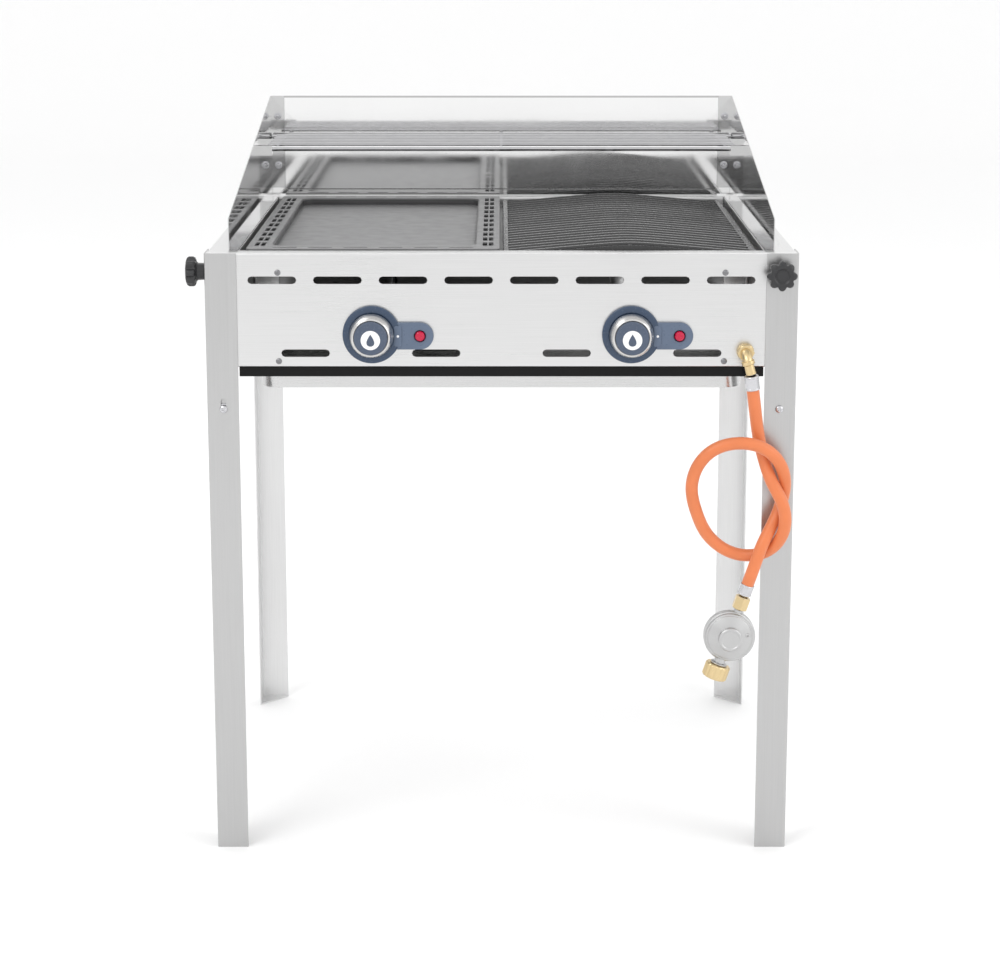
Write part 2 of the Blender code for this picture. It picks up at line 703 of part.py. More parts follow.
# Windshield and rack
def windshield():
    """Polished side and back panels with folded edges, bolted together at the rear corners."""
    half = SHIELD_SHEET / 2
    flange = 531.5
    outline = [
        (12.0, SHIELD_BOTTOM), (12.0, SHIELD_FRONT_Z), (flange, SHIELD_TOP), (flange, SHIELD_BOTTOM),
    ]
    for name, side in SIDES.items():
        x0, x1 = sorted((side * (SHIELD_X - half), side * (SHIELD_X + half)))
        panel = plate(f"windshield_{name}", [outline], "X", x0, x1, MIRROR)
        a, b = sorted((side * (SHIELD_X + half), side * 281.0))
        corner = block(
            "corner_flange", (a, flange - half, 697.0), (b, flange + half, SHIELD_TOP), None
        )
        a, b = sorted((side * (SHIELD_X + half), side * 289.3))
        base = block(
            "base_flange", (a, 12.0, SHIELD_BOTTOM), (b, 515.0, SHIELD_BOTTOM + SHIELD_SHEET), None
        )
        a, b = sorted((side * SHIELD_X, side * 281.0))
        front_hook = block("front_hook", (a, 352.0, 757.0), (b, 362.0, 769.0), None)
        seat = RACK_Z - 2.5 - GAP
        rear_hook = block("rear_hook", (a, 513.5, 757.0), (b, 524.5, seat), None)
        join(panel, corner, base, front_hook, rear_hook)
        a, b = sorted((side * (SHIELD_X - half - 0.01), side * 270.0))
        near, far = RACK_FRONT - 3.4, RACK_FRONT + 3.4
        cut(panel, block("groove", (a, near, RACK_Z - 3.3), (b, far, 775.0), None))
        cut_bolt_holes(panel, side)
    path = [(SHIELD_BACK, SHIELD_TOP), (SHIELD_BACK, SHIELD_HEM), (526.6, SHIELD_HEM)]
    path.append((526.6, SHIELD_HEM + 7.2))
    reach = SHIELD_X + half
    back = folded_sheet("windshield_back", path, "X", -reach, reach, MIRROR, SHIELD_SHEET, 1.0)
    for side in SIDES.values():
        a, b = sorted((side * 280.6, side * 305.0))
        hem_end = block("hem_end", (a, 520.0, 680.0), (b, SHIELD_BACK - half - 0.01, 720.0), None)
        cut(back, hem_end)
        cut_bolt_holes(back, side)


def cut_bolt_holes(panel, side):
    holes = [
        plate(f"bolt_hole_{i}", [disc(side * BOLT_X, z, 2.4, 10)], "Y", 525.0, 540.0, None)
        for i, z in enumerate(BOLT_HEIGHTS)
    ]
    cut(panel, group("bolt_holes", holes))


def windshield_bolts():
    """Screw head behind the back panel, and a nut and thread end in front of the side's flange."""
    for name, side in SIDES.items():
        for label, z in zip(("lower", "upper"), BOLT_HEIGHTS):
            profile = stepped((2.0, 14.5, 11.5), (4.2, 11.5, 7.4), (2.0, 7.4, 4.5), (4.0, 4.5, 2.2))
            base = (side * BOLT_X, 538.3, z)
            turned(f"windshield_bolt_{name}_{label}", profile, base, (0, -1, 0), ZINC, 12)


def warming_rack():
    """Welded wire rack: two rails, thin wires across it and three cross wires under them."""
    reach = SHIELD_X - SHIELD_SHEET / 2 - 1.0
    lengthwise = [wire("front_rail", (-reach, RACK_FRONT, RACK_Z), (reach, RACK_FRONT, RACK_Z), 3.0)]
    lengthwise.append(wire("rear_rail", (-reach, RACK_BACK, RACK_Z), (reach, RACK_BACK, RACK_Z), 2.5))
    for i in range(RACK_WIRES):
        depth = RACK_FRONT + (RACK_BACK - RACK_FRONT) * (i + 1) / (RACK_WIRES + 1)
        height = RACK_Z + 3.0
        lengthwise.append(wire("thin_wire", (-288.0, depth, height), (288.0, depth, height), 1.5, 1))
    rack = group("warming_rack", lengthwise, CHROME)
    across = []
    for x in (-276.0, 0.0, 276.0):
        across.append(
            wire("cross_wire", (x, RACK_FRONT - 1.0, RACK_Z), (x, RACK_BACK + 1.0, RACK_Z), 2.0, 1)
        )
    join(rack, group("cross_wires", across))
    set_origin(rack, (0.0, RACK_FRONT, RACK_Z))


def wire(name, start, end, radius, resolution=2):
    return mesh_from_curve(tube(name, [start, end], radius, None, resolution), None)


# Drip tray
def tray_frame():
    """Three-sided black frame under the housing that the tray's rim slides on, open at the rear."""
    low = FRAME_BOTTOM
    top = BODY_BOTTOM - GAP
    frame = block("tray_frame", (-289.0, 4.0, low), (289.0, 5.5, top), BLACK_ENAMEL)
    for side in SIDES.values():
        a, b = sorted((side * 289.0, side * 287.5))
        wall = block("rail_wall", (a, 4.0, low), (b, 500.0, top), None)
        a, b = sorted((side * 289.0, side * 272.0))
        ledge = block("rail_ledge", (a, 4.0, low), (b, 500.0, low + FRAME_SHEET), None)
        join(frame, wall, ledge)


def drip_tray():
    """Shallow pan with a turned-out rim that slides out to the rear."""
    front = 8.0
    back = DEPTH - 8.0
    low = TRAY_FLOOR
    rim_low = FRAME_BOTTOM + FRAME_SHEET + GAP
    pan = rounded_rectangle(-267.0, front + 6.0, 267.0, back - 10.0, 22.0, 4)
    tray = plate("drip_tray", [pan], "Z", low, rim_low + 0.6, STAINLESS)
    edge = rounded_rectangle(-284.0, front, 284.0, back, 6.0, 2)
    join(tray, plate("rim", [edge], "Z", rim_low, rim_low + SHEET, None))
    hollow = rounded_rectangle(-266.0, front + 7.0, 266.0, back - 11.0, 21.0, 4)
    cut(tray, plate("hollow", [hollow], "Z", low + 1.0, rim_low + 5.0, None))
    pull = block("pull", (-60.0, back - 1.0, rim_low), (60.0, back + 12.0, rim_low + SHEET), None)
    join(tray, pull)
    lip_low, lip_high = rim_low - 12.0, rim_low + SHEET / 2
    join(tray, block("pull_lip", (-60.0, back + 10.8, lip_low), (60.0, back + 12.0, lip_high), None))
    set_origin(tray, (0.0, DEPTH / 2, low))


# Gas train
def burners():
    """Tube burners: each starts at its valve's nozzle, rises, and runs back to the rear panel."""
    for name, side in SIDES.items():
        x = side * CONTROL_X
        path = [(x, 60.0, CONTROL_Z), (x, 95.0, CONTROL_Z), (x, 115.0, 600.0), (x, 135.0, 610.0)]
        path += [(x, 155.0, 620.0), (x, 175.0, 624.0), (x, 200.0, 625.0), (x, 535.5, 625.0)]
        tube(f"burner_{name}", path, 14.0, STAINLESS, 4)


def valves():
    """Gas valve: a brass block over the manifold with a bored boss for the stem and a rear nozzle."""
    for name, side in SIDES.items():
        x = side * CONTROL_X
        low = INLET_Z + MANIFOLD_RADIUS + GAP
        valve = block(f"gas_valve_{name}", (x - 14.0, 22.0, low), (x + 14.0, 50.0, 611.0), BRASS)
        profile = stepped((9.0, -12.0, -32.0), (5.0, -32.0, -59.7))
        boss = turned("boss", profile, (x, 0.0, CONTROL_Z), (0, -1, 0), None, 16)
        join(valve, boss)
        bore = turned("bore", stepped((4.4, 0.0, -36.0)), (x, 0.0, CONTROL_Z), (0, -1, 0), None, 16)
        cut(valve, bore)
        stem = stepped((4.0, 18.0, -31.0))
        turned(f"valve_stem_{name}", stem, (x, 0.0, CONTROL_Z), (0, -1, 0), SATIN, 16)
    ends = [(-168.0, MANIFOLD_DEPTH, INLET_Z), (INLET_X + 9.0, MANIFOLD_DEPTH, INLET_Z)]
    tube("gas_manifold", ends, MANIFOLD_RADIUS, ALLOY, 4)


def bezels():
    """Round bezel behind each knob with a tab that holds the igniter button."""
    for name, side in SIDES.items():
        x = side * CONTROL_X
        tab = slot(x + 34.0, IGNITER_Z + 0.6, 68.0, 30.0, 6)
        back = PANEL_FACE - GAP
        centre = (x, 0.0, CONTROL_Z)
        profile = [(0.0, 4.6), (25.0, 4.6), (30.5, 3.2), (32.0, 1.6), (32.0, -1.5), (0.0, -1.5)]
        bezel = turned(f"knob_bezel_{name}", profile, centre, (0, -1, 0), BLUE, 32)
        join(bezel, plate("tab", [tab], "Y", BEZEL_FACE, back, None))
        stem_hole = turned("stem_hole", stepped((6.5, 10.0, -10.0)), centre, (0, -1, 0), None, 20)
        centre = (x + IGNITER_OFFSET, 0.0, IGNITER_Z)
        button_hole = turned(
            "button_hole", stepped((7.2, 10.0, -10.0)), centre, (0, -1, 0), None, 20
        )
        cut(bezel, stem_hole, button_hole)


def control_knobs():
    """Satin metal knob body with a plastic cap, pushed on the stem."""
    for name, side in SIDES.items():
        base = (side * CONTROL_X, 0.0, CONTROL_Z)
        body = [(0.0, 24.0), (20.6, 24.0), (22.4, 22.4), (24.5, 10.0), (24.5, 8.3)]
        body += [(4.4, 8.3), (4.4, 18.4), (0.0, 18.4)]
        turned(f"control_knob_{name}", body, base, (0, -1, 0), SATIN, 24)
        cap = [(0.0, 29.2), (17.4, 29.2), (18.5, 28.2), (18.5, 24.3), (0.0, 24.3)]
        turned(f"knob_cap_{name}", cap, base, (0, -1, 0), BLUE, 24)


def igniters():
    """Push igniter behind each tab, its red button and the lead to the spark electrode."""
    for name, side in SIDES.items():
        x = side * CONTROL_X + IGNITER_OFFSET
        base = (x, 0.0, IGNITER_Z)
        body = [(0.0, 2.6), (6.8, 2.6), (6.8, -3.6), (9.5, -3.6), (9.5, -42.0), (0.0, -42.0)]
        igniter = turned(f"igniter_{name}", body, base, (0, -1, 0), BLACK, 20)
        bore = turned("barrel_bore", stepped((6.1, 6.0, -16.0)), base, (0, -1, 0), None, 20)
        cut(igniter, bore)
        button = [(0.0, 6.8), (3.6, 6.4), (5.3, 5.0), (5.7, 3.4), (5.7, -10.0), (0.0, -10.0)]
        turned(f"igniter_button_{name}", button, base, (0, -1, 0), RED, 20)
        lead = [(x, 42.4, IGNITER_Z), (x, 60.0, IGNITER_Z), (x - 2.0, 75.0, 592.0)]
        lead += [(x - 8.0, 92.0, 590.0), (x - 18.0, 108.0, 596.0), (x - 26.0, 122.0, 608.0)]
        lead += [(x - 31.0, 140.0, 622.0), (x - 33.0, 160.0, 636.0), (x - 36.0, 178.0, 642.0)]
        tube(f"ignition_lead_{name}", smooth_curve(lead, 14), 1.4, BLACK, 0)


def gas_connection():
    """Brass elbow through the front panel, crimped hose with its ferrules, nut and regulator."""
    elbow_path = [(INLET_X, 30.6, INLET_Z), (INLET_X, 0.0, INLET_Z), (INLET_X, -13.0, INLET_Z)]
    elbow_path += [(INLET_X + 0.6, -19.0, INLET_Z - 3.0), (INLET_X + 2.5, -21.8, INLET_Z - 9.5)]
    elbow_path += [(INLET_X + 5.0, -22.0, INLET_Z - 21.4)]
    elbow = mesh_from_curve(tube("gas_inlet_elbow", elbow_path, 6.0, None, 4), BRASS)
    inlet = (INLET_X, 0, INLET_Z)
    collar = turned("collar", stepped((9.8, 12.0, -1.4)), inlet, (0, -1, 0), None, 20)
    join(elbow, collar)

    points = smooth_curve(HOSE_ROUTE, HOSE_POINTS)
    tube("gas_hose", points, HOSE_RADIUS, RUBBER, 3)
    start = Vector(points[0])
    up = (start - Vector(points[1])).normalized()
    turned("hose_ferrule_upper", stepped((FERRULE_RADIUS, 15.8, GAP)), start, up, ZINC, 20)
    end = Vector(points[-1])
    down = (end - Vector(points[-2])).normalized()
    turned("hose_ferrule_lower", stepped((FERRULE_RADIUS, 12.5, GAP)), end, down, ZINC, 20)

    axis = REGULATOR_AXIS
    centre = REGULATOR_CENTRE
    turned("hose_nut", stepped((8.4, 47.0, 32.5)), centre, axis, BRASS, 6)
    profile = [(0.0, 15.0), (13.0, 15.0), (22.0, 11.5), (26.5, 7.5), (28.7, 4.0), (28.7, -3.5)]
    profile += [(24.0, -9.0), (16.0, -13.0), (0.0, -14.0)]
    regulator = turned("regulator_body", profile, centre, (0, -1, 0), ALLOY, 24)
    neck = stepped((5.0, 32.2, 0.0), (6.2, 0.0, -33.0), (9.5, -33.0, -34.5))
    neck = turned("neck", neck, centre, axis, None, 16)
    join(regulator, neck)
    turned("regulator_cap", stepped((13.5, 19.5, 15.3)), centre, (0, -1, 0), ALLOY, 20)
    nut = turned("cylinder_nut", stepped((14.2, -34.9, -51.0)), centre, axis, BRASS, 20)
    cut(nut, turned("nut_bore", stepped((10.6, -38.0, -60.0)), centre, axis, None, 16))


front_and_rear_panels()
side_panels()
corner_brackets()
centre_rail()
legs()
leg_pivots()
star_knobs()
griddle()
grate()
windshield()
windshield_bolts()
warming_rack()
tray_frame()
drip_tray()
burners()
valves()
bezels()
control_knobs()
igniters()
gas_connection()
shade_round_faces()
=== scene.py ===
"""Looks of the free-standing gas grill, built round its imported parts.

Places are in metres in the frame's own coordinates: x to the right, y to the back, z up from the
floor. Profiles and outlines of small pieces are in millimetres, and are scaled as they are made.
"""
import json
import math

import bmesh
import bpy
import numpy as np
from mathutils import Matrix, Vector


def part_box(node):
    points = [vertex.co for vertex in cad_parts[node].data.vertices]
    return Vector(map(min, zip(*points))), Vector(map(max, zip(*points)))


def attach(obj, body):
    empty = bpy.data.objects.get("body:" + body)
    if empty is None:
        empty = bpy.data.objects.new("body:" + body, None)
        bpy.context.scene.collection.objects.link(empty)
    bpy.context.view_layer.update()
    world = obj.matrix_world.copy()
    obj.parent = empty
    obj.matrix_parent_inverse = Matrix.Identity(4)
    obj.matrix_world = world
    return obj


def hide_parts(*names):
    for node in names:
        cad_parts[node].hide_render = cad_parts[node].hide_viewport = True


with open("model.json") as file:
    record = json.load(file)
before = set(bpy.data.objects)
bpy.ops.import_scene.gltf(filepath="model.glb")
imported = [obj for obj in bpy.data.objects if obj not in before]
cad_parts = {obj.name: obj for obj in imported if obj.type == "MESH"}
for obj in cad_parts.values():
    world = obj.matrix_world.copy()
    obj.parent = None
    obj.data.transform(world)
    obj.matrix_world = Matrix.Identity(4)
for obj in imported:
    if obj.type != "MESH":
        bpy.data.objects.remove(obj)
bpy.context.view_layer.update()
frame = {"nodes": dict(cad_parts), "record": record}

MM = 0.001
SHARP = math.radians(34.0)
BODIES = frame["record"]["behaviour"]["bodies"]
BODY_OF = {node: body for body, nodes in BODIES.items() for node in nodes}
SIDES = ("left", "right")
CORNERS = {
    "front_left": (-1, -1),
    "front_right": (1, -1),
    "rear_left": (-1, 1),
    "rear_right": (1, 1),
}

# The plane of the front legs' faces, which the fine pieces' depths are counted from
FACE_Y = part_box("leg_front_left")[0].y
BACK_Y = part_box("leg_rear_left")[1].y


def middle(node):
    low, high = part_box(node)
    return (low + high) / 2


def place(x, depth, z):
    """Millimetres right, back from the front legs' faces, and up, as a point of the frame."""
    return Vector((x * MM, FACE_Y + depth * MM, z * MM))


# Camera and light
def camera():
    data = bpy.data.cameras.new("camera")
    data.lens = 87.7
    data.shift_y = -0.08
    data.clip_end = 50.0
    eye = bpy.data.objects.new("camera", data)
    bpy.context.scene.collection.objects.link(eye)
    eye.location = (-0.0016, FACE_Y - 2.635, 1.064)
    eye.rotation_euler = (math.radians(90.0 - 11.55), 0.0, 0.0)
    bpy.context.scene.camera = eye
    bpy.context.scene.view_settings.view_transform = "Standard"


def softbox(name, location, target, size, power):
    data = bpy.data.lights.new(name, "AREA")
    data.shape = "RECTANGLE"
    data.size, data.size_y = size
    data.energy = power
    lamp = bpy.data.objects.new(name, data)
    bpy.context.scene.collection.objects.link(lamp)
    lamp.location = location
    lamp.rotation_euler = (Vector(target) - Vector(location)).to_track_quat("-Z", "Y").to_euler()


def studio():
    """White sweep, a bright room with a darker band to draw the metal's edges, and two softboxes."""
    bm = bmesh.new()
    half, rise, bend = 9.0, 6.0, 2.0
    profile = [(-half, 0.0), (half - bend, 0.0)]
    for i in range(1, 13):
        angle = math.radians(90.0 * i / 12)
        profile.append((half - bend + bend * math.sin(angle), bend - bend * math.cos(angle)))
    profile.append((half, rise))
    edge = [bm.verts.new((-half, y, z)) for y, z in profile]
    lines = [bm.edges.new(pair) for pair in zip(edge, edge[1:])]
    swept = bmesh.ops.extrude_edge_only(bm, edges=lines)
    moved = [v for v in swept["geom"] if isinstance(v, bmesh.types.BMVert)]
    bmesh.ops.translate(bm, vec=(2 * half, 0.0, 0.0), verts=moved)
    bmesh.ops.recalc_face_normals(bm, faces=bm.faces)
    mesh = bpy.data.meshes.new("floor")
    bm.to_mesh(mesh)
    bm.free()
    mesh.shade_smooth()
    floor = bpy.data.objects.new("floor", mesh)
    bpy.context.scene.collection.objects.link(floor)
    paint = bpy.data.materials.new("floor_paint")
    paint.use_nodes = True
    shader = paint.node_tree.nodes["Principled BSDF"]
    shader.inputs["Base Color"].default_value = (0.93, 0.93, 0.93, 1.0)
    shader.inputs["Roughness"].default_value = 0.9
    shader.inputs["Specular IOR Level"].default_value = 0.1
    mesh.materials.append(paint)

    world = bpy.data.worlds.new("studio")
    bpy.context.scene.world = world
    world.use_nodes = True
    tree = world.node_tree
    sky = tree.nodes["Background"]
    place_node = tree.nodes.new("ShaderNodeTexCoord")
    split = tree.nodes.new("ShaderNodeSeparateXYZ")
    ramp = tree.nodes.new("ShaderNodeValToRGB")
    shift = tree.nodes.new("ShaderNodeMapRange")
    shift.inputs["From Min"].default_value = -1.0
    tree.links.new(place_node.outputs["Generated"], split.inputs[0])
    tree.links.new(split.outputs["X"], shift.inputs["Value"])
    tree.links.new(shift.outputs["Result"], ramp.inputs["Fac"])
    tree.links.new(ramp.outputs["Color"], sky.inputs["Color"])
    stops = [(0.0, 0.88), (0.3, 0.92), (0.5, 0.94), (0.75, 1.0), (1.0, 0.97)]
    elements = ramp.color_ramp.elements
    elements[0].position, elements[1].position = stops[0][0], stops[-1][0]
    for position, _ in stops[1:-1]:
        elements.new(position)
    for element, (_, grey) in zip(elements, stops):
        element.color = (grey, grey, grey, 1.0)
    sky.inputs["Strength"].default_value = 1.12

    softbox("key_light", (-1.9, -2.4, 2.9), (0.0, 0.0, 0.5), (1.8, 1.4), 32.0)
    softbox("fill_light", (2.6, -1.6, 1.7), (0.0, 0.0, 0.4), (1.2, 1.8), 14.0)
    softbox("back_light", (0.3, 2.4, 3.0), (0.0, 0.0, 0.6), (2.6, 1.0), 16.0)


# Materials
class Finish:
    """A Principled material with procedural grain, read in each object's own coordinates."""

    def __init__(self, name, slot, colour, metallic, roughness, **sockets):
        self.material = bpy.data.materials.new(name)
        self.material.use_nodes = True
        self.tree = self.material.node_tree
        self.shader = self.tree.nodes["Principled BSDF"]
        self.colour = colour
        self.shader.inputs["Base Color"].default_value = (*colour, 1.0)
        self.shader.inputs["Metallic"].default_value = metallic
        self.shader.inputs["Roughness"].default_value = roughness
        for socket, value in sockets.items():
            self.shader.inputs[socket.replace("_", " ")].default_value = value
        self.material.diffuse_color = (*colour, 1.0)
        self.normal = None

    def node(self, kind, inputs, **settings):
        made = self.tree.nodes.new("ShaderNode" + kind)
        for setting, value in settings.items():
            setattr(made, setting, value)
        for key, value in inputs.items():
            if isinstance(value, bpy.types.NodeSocket):
                self.tree.links.new(value, made.inputs[key])
            else:
                made.inputs[key].default_value = value
        return made

    def grain(self, scale, stretch=(1.0, 1.0, 1.0), detail=3.0, roughness=0.55):
        """Noise, with its cells drawn out where the stretch is small."""
        where = self.node("TexCoord", {}).outputs["Object"]
        mapped = self.node("Mapping", {"Vector": where, "Scale": stretch})
        inputs = {"Vector": mapped.outputs[0], "Scale": scale, "Detail": detail}
        return self.node("TexNoise", {**inputs, "Roughness": roughness}).outputs["Fac"]

    def rings(self, spacing):
        """Fine turning marks round the object's own axis."""
        where = self.node("TexCoord", {}).outputs["Object"]
        wave = self.node(
            "TexWave",
            {"Vector": where, "Scale": 0.31 / spacing, "Distortion": 1.2, "Detail": 2.0},
            wave_type="RINGS",
            rings_direction="Z",
        )
        return wave.outputs["Fac"]

    def ranged(self, fac, low, high):
        limits = {"Value": fac, "From Min": 0.25, "From Max": 0.75, "To Min": low, "To Max": high}
        return self.node("MapRange", limits).outputs["Result"]

    def tint(self, fac, spread, warm=0.0):
        """Lighten and darken the base colour by a share, with an optional shift to warm."""
        mix = self.node("Mix", {0: self.ranged(fac, 0.0, 1.0)}, data_type="RGBA")
        dark = [c * (1.0 - spread) * (1.0 - warm * i) for i, c in enumerate(self.colour)]
        light = [min(c * (1.0 + spread), 1.0) for c in self.colour]
        mix.inputs[6].default_value = (*dark, 1.0)
        mix.inputs[7].default_value = (*light, 1.0)
        self.tree.links.new(mix.outputs[2], self.shader.inputs["Base Color"])
        return self

    def blend(self, fac, grey):
        """Go from the tinted base colour to a grey where the factor is 1."""
        mix = self.node("Mix", {0: fac}, data_type="RGBA")
        tinted = self.shader.inputs["Base Color"].links[0].from_socket
        self.tree.links.new(tinted, mix.inputs[6])
        mix.inputs[7].default_value = (grey, grey, grey, 1.0)
        self.tree.links.new(mix.outputs[2], self.shader.inputs["Base Color"])

    def polish(self, fac, low, high):
        self.tree.links.new(self.ranged(fac, low, high), self.shader.inputs["Roughness"])
        return self

    def relief(self, fac, depth, strength=1.0):
        inputs = {"Height": fac, "Distance": depth, "Strength": strength}
        if self.normal is not None:
            inputs["Normal"] = self.normal
        self.normal = self.node("Bump", inputs).outputs["Normal"]
        self.tree.links.new(self.normal, self.shader.inputs["Normal"])
        return self


def painted_inside_shade(finish, colour):
    """Painted shade: darken a sheet's colour wherever it faces the inside of the housing, where shade
    falls.
    """
    low = Vector((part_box("side_panel_left")[0].x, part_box("front_panel")[0].y, 0.0))
    high = Vector((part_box("side_panel_right")[1].x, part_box("rear_panel")[1].y, 0.676))
    where = finish.node("NewGeometry", {}).outputs["Position"]
    parts = finish.node("SeparateXYZ", {0: where}).outputs
    tests = [("X", "GREATER_THAN", low.x + 0.0006), ("X", "LESS_THAN", high.x - 0.0006)]
    tests += [("Y", "GREATER_THAN", low.y + 0.0006), ("Y", "LESS_THAN", high.y - 0.0006)]
    tests += [("Z", "LESS_THAN", high.z)]
    share = None
    for axis, operation, limit in tests:
        found = finish.node("Math", {0: parts[axis], 1: limit}, operation=operation).outputs[0]
        if share is not None:
            found = finish.node("Math", {0: share, 1: found}, operation="MULTIPLY").outputs[0]
        share = found
    finish.blend(share, colour)


def steel(name, along, colour=0.69, roughness=(0.24, 0.36), inside=None):
    """Brushed stainless sheet, its lines running along one axis, with faint wide smudges and, where an
    inside grey is given, painted shade on its faces inside the housing.
    """
    finish = Finish(name, "stainless", (colour, colour, colour), 1.0, 0.3)
    stretch = [1.0, 1.0, 1.0]
    stretch["xyz".index(along)] = 0.012
    lines = finish.grain(900.0, stretch, 2.0)
    smudge = finish.grain(5.0, detail=4.0)
    both = finish.node("Math", {0: lines, 1: smudge}, operation="ADD").outputs[0]
    half = finish.node("Math", {0: both, 1: 0.5}, operation="MULTIPLY").outputs[0]
    finish.polish(half, *roughness)
    finish.tint(lines, 0.03)
    # Painted shade: the faces inside the housing darken to the given grey.
    if inside is not None:
        painted_inside_shade(finish, inside)
    finish.relief(lines, 0.00002, 0.35)
    return finish.material


def polished_steel(name, across):
    """Mirror-polished sheet. Its faces turned away from one axis, cut edges and flanges, get a darker
    grey: partly the cut edges' duller finish, mostly painted shade on the flanges. On the back, a
    darker band along the hemmed top edge is painted shade.
    """
    finish = Finish(name, "polished_stainless", (0.88, 0.88, 0.88), 1.0, 0.05)
    finish.polish(finish.grain(14.0, detail=5.0), 0.03, 0.1)
    finish.tint(finish.grain(3.0), 0.015)
    # Painted shade: faces turned away from the axis, cut edges and flanges, blend to a darker grey.
    facing = finish.node("NewGeometry", {}).outputs["True Normal"]
    part = finish.node("SeparateXYZ", {0: facing}).outputs[across]
    size = finish.node("Math", {0: part}, operation="ABSOLUTE").outputs[0]
    flange_shade_mask = finish.node("Math", {0: size, 1: 0.75}, operation="LESS_THAN").outputs[0]
    finish.blend(flange_shade_mask, 0.6)
    # Painted shade: a darker band along the hemmed top edge of the back.
    if across == "Y":
        where = finish.node("NewGeometry", {}).outputs["Position"]
        height = finish.node("SeparateXYZ", {0: where}).outputs["Z"]
        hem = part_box("windshield_back")[1].z - 0.0024
        hem_shade_mask = finish.node("Math", {0: height, 1: hem}, operation="GREATER_THAN").outputs[0]
        finish.blend(hem_shade_mask, 0.5)
    finish.relief(finish.grain(700.0, (0.05, 1.0, 1.0)), 0.00001, 0.12)
    return finish.material


def plain_metal(name, slot, colour, roughness, scale=260.0, depth=0.00004, spread=0.05):
    """Metal with a fine, even grain: plated, cast or turned pieces."""
    finish = Finish(name, slot, colour, 1.0, sum(roughness) / 2)
    fine = finish.grain(scale, detail=4.0)
    finish.polish(finish.grain(scale / 9, detail=4.0), *roughness)
    finish.tint(finish.grain(scale / 14), spread)
    finish.relief(fine, depth, 0.5)
    return finish.material


def turned_metal(name, slot, colour, roughness):
    """Metal with fine turning marks round its own axis."""
    finish = Finish(name, slot, colour, 1.0, sum(roughness) / 2)
    marks = finish.rings(0.0005)
    finish.polish(marks, *roughness)
    finish.tint(finish.grain(90.0), 0.04)
    finish.relief(marks, 0.00002, 0.3)
    return finish.material


def enamel(name, slot, grey, roughness, streak=(0.05, 1.0, 1.0), spread=0.22, shine=0.62):
    """Fired enamel on steel: dark, glossy, with fine streaks and a slight orange peel."""
    finish = Finish(name, slot, (grey, grey, grey * 1.02), 0.0, sum(roughness) / 2)
    finish.shader.inputs["Specular IOR Level"].default_value = shine
    streaks = finish.grain(420.0, streak, 3.0)
    finish.tint(streaks, spread)
    finish.polish(finish.grain(60.0, detail=5.0), *roughness)
    finish.relief(finish.grain(520.0), 0.00006, 0.35)
    finish.relief(streaks, 0.00004, 0.25)
    return finish.material


def plastic(name, slot, colour, roughness, turned=False, coat=0.0):
    """Moulded plastic with a fine spark-eroded grain, or turned rings on round mouldings."""
    finish = Finish(name, slot, colour, 0.0, sum(roughness) / 2)
    finish.shader.inputs["Coat Weight"].default_value = coat
    finish.shader.inputs["Coat Roughness"].default_value = 0.08
    finish.polish(finish.grain(350.0), *roughness)
    finish.tint(finish.grain(45.0), 0.07)
    finish.relief(finish.grain(1500.0), 0.00003, 0.3)
    if turned:
        finish.relief(finish.rings(0.0011), 0.00006, 0.35)
    return finish.material


def rubber():
    """Extruded orange hose cover: matt, faintly dusty, with fine extrusion grain."""
    finish = Finish("orange_hose", "orange_rubber", (0.71, 0.2, 0.068), 0.0, 0.42)
    finish.shader.inputs["Sheen Weight"].default_value = 0.12
    finish.shader.inputs["Sheen Roughness"].default_value = 0.5
    finish.polish(finish.grain(120.0), 0.36, 0.5)
    finish.tint(finish.grain(26.0, detail=4.0), 0.07, 0.02)
    finish.relief(finish.grain(1100.0), 0.00005, 0.4)
    finish.relief(finish.grain(70.0), 0.0001, 0.2)
    return finish.material


# The inside greys are painted shade on the faces inside the housing.
PANEL_STEEL = steel("panel_steel", "x", inside=0.05)
REAR_STEEL = steel("rear_panel_steel", "x", inside=0.34)
SIDE_STEEL = steel("side_steel", "y", inside=0.05)
TUBE_STEEL = steel("tube_steel", "y", 0.42)
# Lit and shaded copies of one leg steel: the front legs' darker grey is painted shade, the rear legs'
# lighter grey is painted light.
SHADED_FRONT_LEG_STEEL = steel("front_leg_steel_painted_shade", "z", 0.51, (0.26, 0.4))
LIT_REAR_LEG_STEEL = steel("rear_leg_steel_painted_light", "z", 0.75, (0.26, 0.4))
TRAY_STEEL = steel("tray_steel", "x", 0.62, (0.2, 0.34))
MIRROR_BACK = polished_steel("mirror_steel_back", "Y")
MIRROR_SIDE = polished_steel("mirror_steel_side", "X")
CHROME = plain_metal("chrome", "chrome_wire", (0.52, 0.52, 0.53), (0.06, 0.14), 900.0, 0.00001)
ZINC = plain_metal("zinc_plate", "zinc_steel", (0.6, 0.6, 0.62), (0.2, 0.36))
SATIN = turned_metal("satin_chrome", "satin_chrome", (0.65, 0.64, 0.63), (0.17, 0.28))
BRASS = plain_metal("machined_brass", "brass", (0.7, 0.55, 0.31), (0.26, 0.4), 400.0)
ALLOY = plain_metal("die_cast_alloy", "cast_alloy", (0.53, 0.53, 0.53), (0.32, 0.46), 320.0, 0.00008)
PIPE = plain_metal("pipe_steel", "cast_alloy", (0.4, 0.4, 0.41), (0.3, 0.45), 200.0)
SCREW_STEEL = plain_metal("screw_steel", "zinc_steel", (0.26, 0.26, 0.27), (0.25, 0.4))
GRIDDLE_ENAMEL = enamel("griddle_enamel", "grey_enamel", 0.15, (0.3, 0.42))
